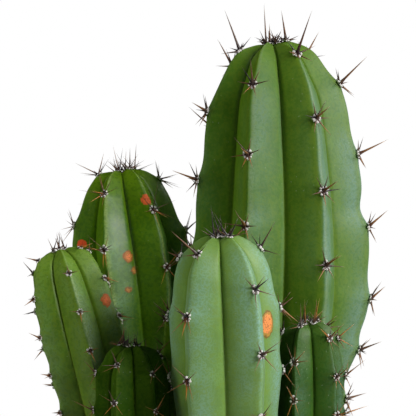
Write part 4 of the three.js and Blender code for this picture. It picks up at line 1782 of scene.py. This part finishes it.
@dataclass
class Studio:
    """A pale floor that fades to white, soft lights and the camera at the photograph's angle.

    target is what the camera looks at, half_frame half of what it sees there, and elevation its height in
    degrees. The floor's rings lie at floor_radii, a hair below the pot, and it fades between the two radii
    of fade. The rest is in millimetres.
    """

    target: tuple[float, float, float] = (0.0, 0.0, 324.0)
    distance: float = 1000.0
    elevation: float = 4.0
    half_frame: float = 104.0
    sensor: float = 36.0
    floor_radii: tuple[float, ...] = (200.0, 400.0, 600.0, 900.0)
    floor_sides: int = 96
    floor_top: float = -0.2
    floor_bottom: float = -20.0
    fade: tuple[float, float] = (250.0, 800.0)

    def build(self) -> None:
        """Builds the floor, the lights, the surroundings and the camera."""
        self.build_floor()
        self.build_world()
        for lamp in LAMPS:
            self.build_lamp(lamp)
        self.build_camera()

    def build_floor(self) -> None:
        """A disc of pale card that fades into the white surroundings away from the pot."""
        angle = np.arange(self.floor_sides) * 2 * np.pi / self.floor_sides
        radii = np.array(self.floor_radii)[:, None]
        level = 0 * radii * angle + self.floor_top
        rings = np.stack([radii * np.cos(angle), radii * np.sin(angle), level], axis=-1)
        ends = [np.array([0.0, 0.0, level]) for level in (self.floor_top, self.floor_bottom)]
        floor = mesh_piece("floor", tube_shell(rings, *ends), smooth=False)
        material, tree, shader = new_material("studio floor, pale card")
        place = add_node(tree, "TexCoord", out="Object")
        away = add_node(tree, "VectorMath", {0: place}, "Value", operation="LENGTH")
        start, end = (radius * MM for radius in self.fade)
        reach = {"Value": away, "From Min": start, "From Max": end}
        white = add_node(tree, "MapRange", reach, interpolation_type="SMOOTHSTEP")
        feed(tree, shader, {"Base Color": linear(FLOOR_CARD), "Roughness": 0.9})
        clear = add_node(tree, "BsdfTransparent")
        faded = add_node(tree, "MixShader", {0: white, 1: shader.outputs[0], 2: clear})
        feed(tree, tree.nodes["Material Output"], {"Surface": faded})
        floor.data.materials.append(material)

    def build_world(self) -> None:
        """White surroundings: plain white to the camera, dimmer as light on the plant."""
        world = bpy.data.worlds.new("studio")
        bpy.context.scene.world = world
        world.use_nodes = True
        world.cycles_visibility.glossy = False
        tree = world.node_tree
        seen = add_node(tree, "LightPath", out="Is Camera Ray")
        strength = add_node(tree, "MapRange", {"Value": seen, "To Min": AMBIENT, "To Max": 1.0})
        feed(tree, tree.nodes["Background"], {"Color": (1.0, 1.0, 1.0, 1.0), "Strength": strength})

    def build_lamp(self, lamp: Lamp) -> None:
        """A square soft box that faces the stems.

        Args:
            lamp: The lamp.
        """
        data = bpy.data.lights.new(lamp.name, "AREA")
        data.shape = "SQUARE"
        data.size = lamp.size
        data.energy = lamp.power
        light = bpy.data.objects.new(lamp.name, data)
        middle = Vector((0.0, 0.0, self.target[2] * MM))
        azimuth, height = math.radians(lamp.azimuth), math.radians(lamp.height)
        flat = math.cos(height)
        way = Vector((math.sin(azimuth) * flat, -math.cos(azimuth) * flat, math.sin(height)))
        light.location = middle + way * LAMP_DISTANCE
        light.rotation_euler = (-way).to_track_quat("-Z", "Y").to_euler()
        light.visible_diffuse = lamp.diffuse
        light.visible_glossy = lamp.gloss
        bpy.context.scene.collection.objects.link(light)

    def build_camera(self) -> None:
        """The camera: it looks at the middle of the photograph from a little above, with a long lens."""
        data = bpy.data.cameras.new("camera")
        data.sensor_width = self.sensor
        data.lens = self.sensor * self.distance / (2 * self.half_frame)
        data.clip_end = 100.0
        camera = bpy.data.objects.new("camera", data)
        rise = math.radians(self.elevation)
        way = Vector((0.0, -math.cos(rise), math.sin(rise)))
        target = Vector(self.target) * MM
        camera.location = target + way * self.distance * MM
        camera.rotation_euler = (-way).to_track_quat("-Z", "Y").to_euler()
        bpy.context.scene.collection.objects.link(camera)
        bpy.context.scene.camera = camera


TALL = Stem(
    name="stem_tall",
    foot=(29, 22),
    tip=(32.5, 29, 407),
    bow=(6, 0),
    crests=(-24.5, 27, 78.5, 130, 181, 232.5, 284),
    furrow=0.27,
    areole_step=36,
    areole_start=(5, 24.5, 7.5, 26, 8, 28, 18),
    girth=(
        (1.5, 12), (6, 20.5), (15, 27.3), (29, 35), (54, 40), (105, 46), (125, 46.3), (153, 42),
        (174, 35.5), (252, 30),
    ),
    arms=Arms(
        central=18,
        radial=9,
        tuft=9,
        girth=1.5,
        rays=6,
        beads=8,
        felt=2.0,
        tan=0.3,
        leaders=(
            Leader(6, 0, 86, 21, 0, 0.3),
            Leader(0, 0, 85, 10, 0, 0.3),
            Leader(1, 0, 65, 8, 30, 0.1),
            Leader(5, 0, 65, 8, 15, 0.1),
            Leader(6, 1, 70, 22, -10, 0.2),
            Leader(0, 1, 60, 14, 10, 0.2),
            Leader(1, 1, 70, 23, 30, 0.2),
            Leader(2, 1, 75, 16, -120, 0.3),
            Leader(3, 1, 60, 16, -20, 0.5),
            Leader(4, 1, 70, 7, 0, 0.1),
            Leader(5, 1, 60, 16, 15, 0.3),
            Leader(6, 2, 30, 9, -10, 0.5),
            Leader(0, 2, 15, 14, 5, 0.5),
            Leader(1, 2, 25, 14, 0, 0.5),
            Leader(2, 2, 45, 20, 5, 0.4),
            Leader(6, 3, 20, 14, -5, 0.7),
            Leader(0, 3, 20, 14, 15, 0.5),
            Leader(1, 3, 25, 14, 5, 0.5),
            Leader(2, 3, 25, 17, 5, 0.6),
            Leader(1, 4, 25, 14, 5, 0.5),
            Leader(2, 4, 40, 13, 5, 0.6),
            Leader(2, 5, 40, 10, 5, 0.5),
        ),
    ),
    dents=(
        Dent(around=2, arc=107, reach=7, depth=2.0),
        Dent(around=2, arc=205, reach=10, depth=-1.5),
    ),
    twist=4.5,
    crowd_from=150,
    crowding=1.4,
)
FRONT = Stem(
    name="stem_front",
    foot=(8, -45),
    tip=(5.5, -58, 316),
    bow=(2, 0),
    crests=(-39, 36, 106, 178, 250),
    furrow=0.33,
    areole_step=30,
    areole_start=(19, 7.5, 22, 25, 24.5),
    girth=((3.5, 12.5), (8.5, 18), (17, 23), (30, 26), (41, 27.5), (61, 28), (87, 26.5), (160, 20)),
    arms=Arms(
        central=11,
        radial=10,
        tuft=12,
        girth=1.15,
        rays=4,
        beads=7,
        felt=1.9,
        tan=0.35,
        leaders=(
            Leader(0, 0, 40, 8, -25, 0),
            Leader(0, 0, 70, 11, 75, 0),
            Leader(1, 0, 70, 11, -65, 0),
            Leader(4, 0, 85, 15, 10, 0),
            Leader(1, 1, 55, 11, 5, 0),
            Leader(2, 1, 60, 15, -10, 0.1),
            Leader(0, 1, 40, 18, -25, 0.3),
            Leader(0, 2, 25, 11, 5, 0),
            Leader(1, 2, 35, 10, 15, 0),
            Leader(1, 3, 20, 10, 15, 0.3),
            Leader(4, 1, 20, 7, 0, 0.2),
            Leader(2, 2, 35, 8, -10, 0.2),
            Leader(2, 2, -40, 12, -10, 0.6),
            Leader(0, 2, -75, 10, -25, 0.9),
            Leader(0, 3, -85, 10, 0, 0.9),
        ),
    ),
    scars=(Scar(around=1.63, arc=57, width=9, height=13.5, tone=0.1, lean=0.05),),
)
BACK_LEFT = Stem(
    name="stem_back_left",
    foot=(-28, 40),
    tip=(-45.3, 54, 341),
    bow=(1, 0),
    crests=(-20, 38, 98, 158, 218, 278),
    furrow=0.3,
    areole_step=30,
    areole_start=(26.5, 8.5, 21, 12, 2, 12.5),
    girth=((2.5, 12.5), (7, 17.6), (18, 24), (28, 28), (40, 30.8), (60, 31.2), (90, 26.5), (186, 20)),
    arms=Arms(
        central=13,
        radial=12,
        tuft=12,
        girth=0.8,
        rays=6,
        beads=7,
        felt=1.8,
        tan=0.7,
        lean=0.5,
        leaders=(
            Leader(0, 0, 75, 14, -30, 0.6),
            Leader(0, 0, 40, 9, -30, 0.3),
            Leader(1, 0, 85, 11, 0, 0.4),
            Leader(2, 0, 60, 10, 0, 0.3),
            Leader(2, 0, 20, 8, 0, 0.4),
            Leader(5, 0, 80, 8, 0, 0.4),
            Leader(5, 1, 27, 14, 0, 0.5),
            Leader(5, 1, 65, 13, 125, 0.5),
            Leader(1, 1, 85, 11, 0, 0.3),
            Leader(2, 1, 70, 10, -125, 0.3),
            Leader(2, 1, 15, 10, 0, 0.5),
            Leader(2, 1, -35, 9, 0, 0.5),
            Leader(0, 1, 70, 11, -20, 0.2),
            Leader(0, 1, 15, 9, -20, 0.9),
            Leader(0, 1, -25, 10, -30, 0.9),
            Leader(1, 2, -25, 10, 30, 0.9),
            Leader(0, 2, 20, 11, 55, 0.1),
            Leader(0, 2, -85, 10, 0, 0.9),
            Leader(5, 2, 75, 8, 0, 0.4),
        ),
    ),
    scars=(
        Scar(around=0.98, arc=31.7, width=5, height=6.5, tone=0.8, lean=0.2),
        Scar(around=5.22, arc=51.5, width=5.5, height=5.5, tone=1.0),
        Scar(around=0.37, arc=61, width=5.2, height=6.4, tone=0.35),
        Scar(around=0.45, arc=68.5, width=3.4, height=4.2, tone=0.2),
        Scar(around=0.30, arc=78.5, width=3.8, height=3.8, tone=0.2),
        Scar(around=0.455, arc=62, width=1.1, height=1.1, tone=0.2),
    ),
    dents=(Dent(around=2, arc=45, reach=12, depth=1.0),),
    twist=-9,
)
LEFT = Stem(
    name="stem_left",
    foot=(-41, -1),
    tip=(-75, 4, 303.5),
    bow=(2, 0),
    crests=(9.5, 62, 125, 185, 245, 305),
    furrow=0.24,
    areole_step=19,
    areole_start=(5.5, 12.5, 17.5, 5.5, 2, 13.5),
    girth=((3, 12), (7, 16.2), (13, 19.3), (23, 21.3), (31, 22.5), (44, 23.2), (70, 22.5), (149, 14)),
    arms=Arms(
        central=6,
        radial=4.5,
        tuft=9,
        girth=0.95,
        rays=2,
        beads=8,
        felt=1.3,
        tan=0.8,
        leaders=(
            Leader(5, 0, 65, 8, -20, 0.3),
            Leader(1, 1, 20, 7, 15, 0.9),
            Leader(1, 2, -15, 8, 15, 0.9),
            Leader(1, 3, -10, 8, 15, 0.9),
            Leader(0, 3, -70, 6, 20, 0.9),
            Leader(0, 4, -55, 7, 40, 0.9),
            Leader(5, 1, 15, 7, -20, 0.5),
            Leader(5, 2, -35, 6, -20, 0.9),
            Leader(4, 2, -15, 7, 10, 0.1),
            Leader(4, 3, -50, 8, 10, 0.9),
        ),
    ),
    scars=(Scar(around=0.86, arc=41.5, width=4.6, height=6.8, tone=0.6),),
)
LOW_LEFT = Stem(
    name="stem_low_left",
    foot=(-32, -36),
    tip=(-37, -38, 261),
    bow=(-1, 0),
    crests=(-25, 37, 95, 155, 215, 275),
    furrow=0.3,
    areole_step=17.8,
    areole_start=(18, 5, 14, 18.5, 7, 6),
    girth=((3.5, 11), (8, 14), (14, 16.8), (29, 18.4), (60, 17.5), (106, 13)),
    arms=Arms(
        central=9,
        radial=7.5,
        tuft=9,
        girth=0.8,
        rays=4,
        beads=6,
        felt=1.25,
        tan=0.75,
        leaders=(
            Leader(5, 0, 85, 8, 0, 0),
            Leader(0, 0, 55, 8, -30, 0),
            Leader(1, 0, 80, 9, 20, 0),
            Leader(0, 1, 65, 9, -30, 0.1),
            Leader(0, 1, 5, 9, -30, 0.1),
            Leader(0, 2, 65, 8, -30, 0.1),
        ),
    ),
)
LOW_RIGHT = Stem(
    name="stem_low_right",
    foot=(46.5, -26),
    tip=(48.5, -34, 272),
    bow=(2, 0),
    crests=(-29, 45, 90, 150, 210, 268),
    furrow=0.36,
    areole_step=18.4,
    areole_start=(8, 16, 18, 9, 4, 14),
    girth=((4.5, 11), (12, 14), (24, 16.6), (40, 16.8), (117, 11)),
    arms=Arms(
        central=10,
        radial=8,
        tuft=11,
        girth=0.85,
        rays=6,
        beads=7,
        felt=1.7,
        tan=0.95,
        leaders=(
            Leader(0, 0, 85, 12, 0, 0.8),
            Leader(1, 0, 80, 10, 20, 0.4),
            Leader(2, 0, 80, 12, 0, 0.9),
            Leader(3, 0, 35, 9, -30, 0.6),
            Leader(1, 1, 45, 11, 20, 0.5),
            Leader(1, 1, 35, 11, -80, 0.9),
            Leader(2, 1, 40, 11, 0, 0.9),
            Leader(2, 1, -30, 9, 0, 0.9),
            Leader(0, 2, 35, 12, 60, 0.8),
            Leader(0, 2, 10, 13, 60, 0.7),
        ),
    ),
)
LOW_MIDDLE = Stem(
    name="stem_low_middle",
    foot=(-11, -4),
    tip=(-13, -12, 279),
    bow=(0, 0),
    crests=(-60, 12, 84, 156, 228),
    furrow=0.28,
    areole_step=19,
    areole_start=(13, 8, 15, 6, 11),
    girth=((8, 9), (17, 10.5), (24, 11.4), (60, 11.2), (124, 8)),
    arms=Arms(central=8, radial=6, tuft=8, girth=0.8, rays=4, beads=6, felt=1.2, tan=0.5),
)

MID_GREEN = WaxySkin(
    name="cactus skin, mid green",
    deep=0x497410,
    face=0x537F16,
    furrow=0x69871A,
    crest=0x98AB89,
    young=0x749934,
    bloom=0x83A69D,
    bloom_share=0.68,
    bloom_from=(10.0, 90.0),
    gloss_roughness=0.52,
    shade_bloom=0.15,
    band=0.3,
    mottle=0.35,
    furrow_bloom=0.5,
)
BLUE_BLOOM = WaxySkin(
    name="cactus skin, under blue bloom",
    deep=0x6F963E,
    face=0x79A244,
    furrow=0x799A34,
    crest=0xA7C887,
    young=0x84AF4D,
    bloom=0x8DBBAA,
    bloom_share=0.95,
    gloss_roughness=0.45,
    gloss=0.33,
    shade_bloom=0.7,
    band=0.2,
    strip=0.35,
    young_share=0.3,
    bloom_from=(3.0, 25.0),
)
DEEP_GREEN = WaxySkin(
    name="cactus skin, deep green",
    deep=0x426F06,
    face=0x518208,
    furrow=0x668C0A,
    crest=0xB7CF7B,
    young=0x85AE1A,
    bloom=0x81AC78,
    bloom_share=0.8,
    gloss_roughness=0.36,
    gloss=0.55,
    band=0.7,
    bloom_from=(35.0, 80.0),
)
LEAF_GREEN = WaxySkin(
    name="cactus skin, leaf green",
    deep=0x5A8119,
    face=0x67951F,
    furrow=0x74931C,
    crest=0xA1BC74,
    young=0x87AB3E,
    bloom=0x9BBE94,
    bloom_share=0.6,
    gloss_roughness=0.45,
    gloss=0.38,
    shade_bloom=0.5,
)
SHADE_GREEN = WaxySkin(
    name="cactus skin, shaded green",
    deep=0x2F570E,
    face=0x366412,
    furrow=0x415F10,
    crest=0x74946D,
    young=0x557B2D,
    bloom=0x749889,
    bloom_share=0.45,
    gloss_roughness=0.45,
    gloss=0.25,
)
# Olive skin for the low left stem, darkened and given little bloom and gloss as painted shade.
OLIVE_IN_PAINTED_SHADE = WaxySkin(
    name="cactus skin, olive green in painted shade",
    deep=0x294A0B,
    face=0x32550E,
    furrow=0x3F5C10,
    crest=0x637F30,
    young=0x4A6C14,
    bloom=0x4E7B1E,
    bloom_share=0.15,
    gloss_roughness=0.42,
    gloss=0.05,
)

# The stems with their skins, from the tallest to the lowest.
STEMS = (
    (TALL, MID_GREEN, Slot.GREEN_SKIN),
    (BACK_LEFT, DEEP_GREEN, Slot.DARK_SKIN),
    (FRONT, BLUE_BLOOM, Slot.PALE_SKIN),
    (LEFT, LEAF_GREEN, Slot.GREEN_SKIN),
    (LOW_MIDDLE, DEEP_GREEN, Slot.DARK_SKIN),
    (LOW_RIGHT, SHADE_GREEN, Slot.GREEN_SKIN),
    (LOW_LEFT, OLIVE_IN_PAINTED_SHADE, Slot.DARK_SKIN),
)


def main() -> None:
    """Builds the studio and every piece in order, and logs each piece's number of faces."""
    logging.basicConfig(level=logging.INFO, format="%(message)s")
    log = logging.getLogger("cactus")
    bpy.context.scene.view_settings.view_transform = "Standard"
    Studio().build()
    log.info("studio: built")
    spine = HornSpine().material()
    wool = WoolFelt().material()
    stems = [entry[0] for entry in STEMS]
    for i, (stem, finish, slot) in enumerate(STEMS):
        others = [other for other in stems if other is not stem]
        for piece in StemPiece(stem, finish, slot, SPINE_SEED + 10 * i).build(spine, wool, others):
            log.info("%s: %d faces", piece.name, len(piece.data.polygons))
    pot = Pot().build(Terracotta().material())
    log.info("%s: %d faces", pot.name, len(pot.data.polygons))
    for piece in Bed(stems).build(PottingSoil().material(), CrushedGrit().material()):
        log.info("%s: %d faces", piece.name, len(piece.data.polygons))


if __name__ == "__main__":
    main()
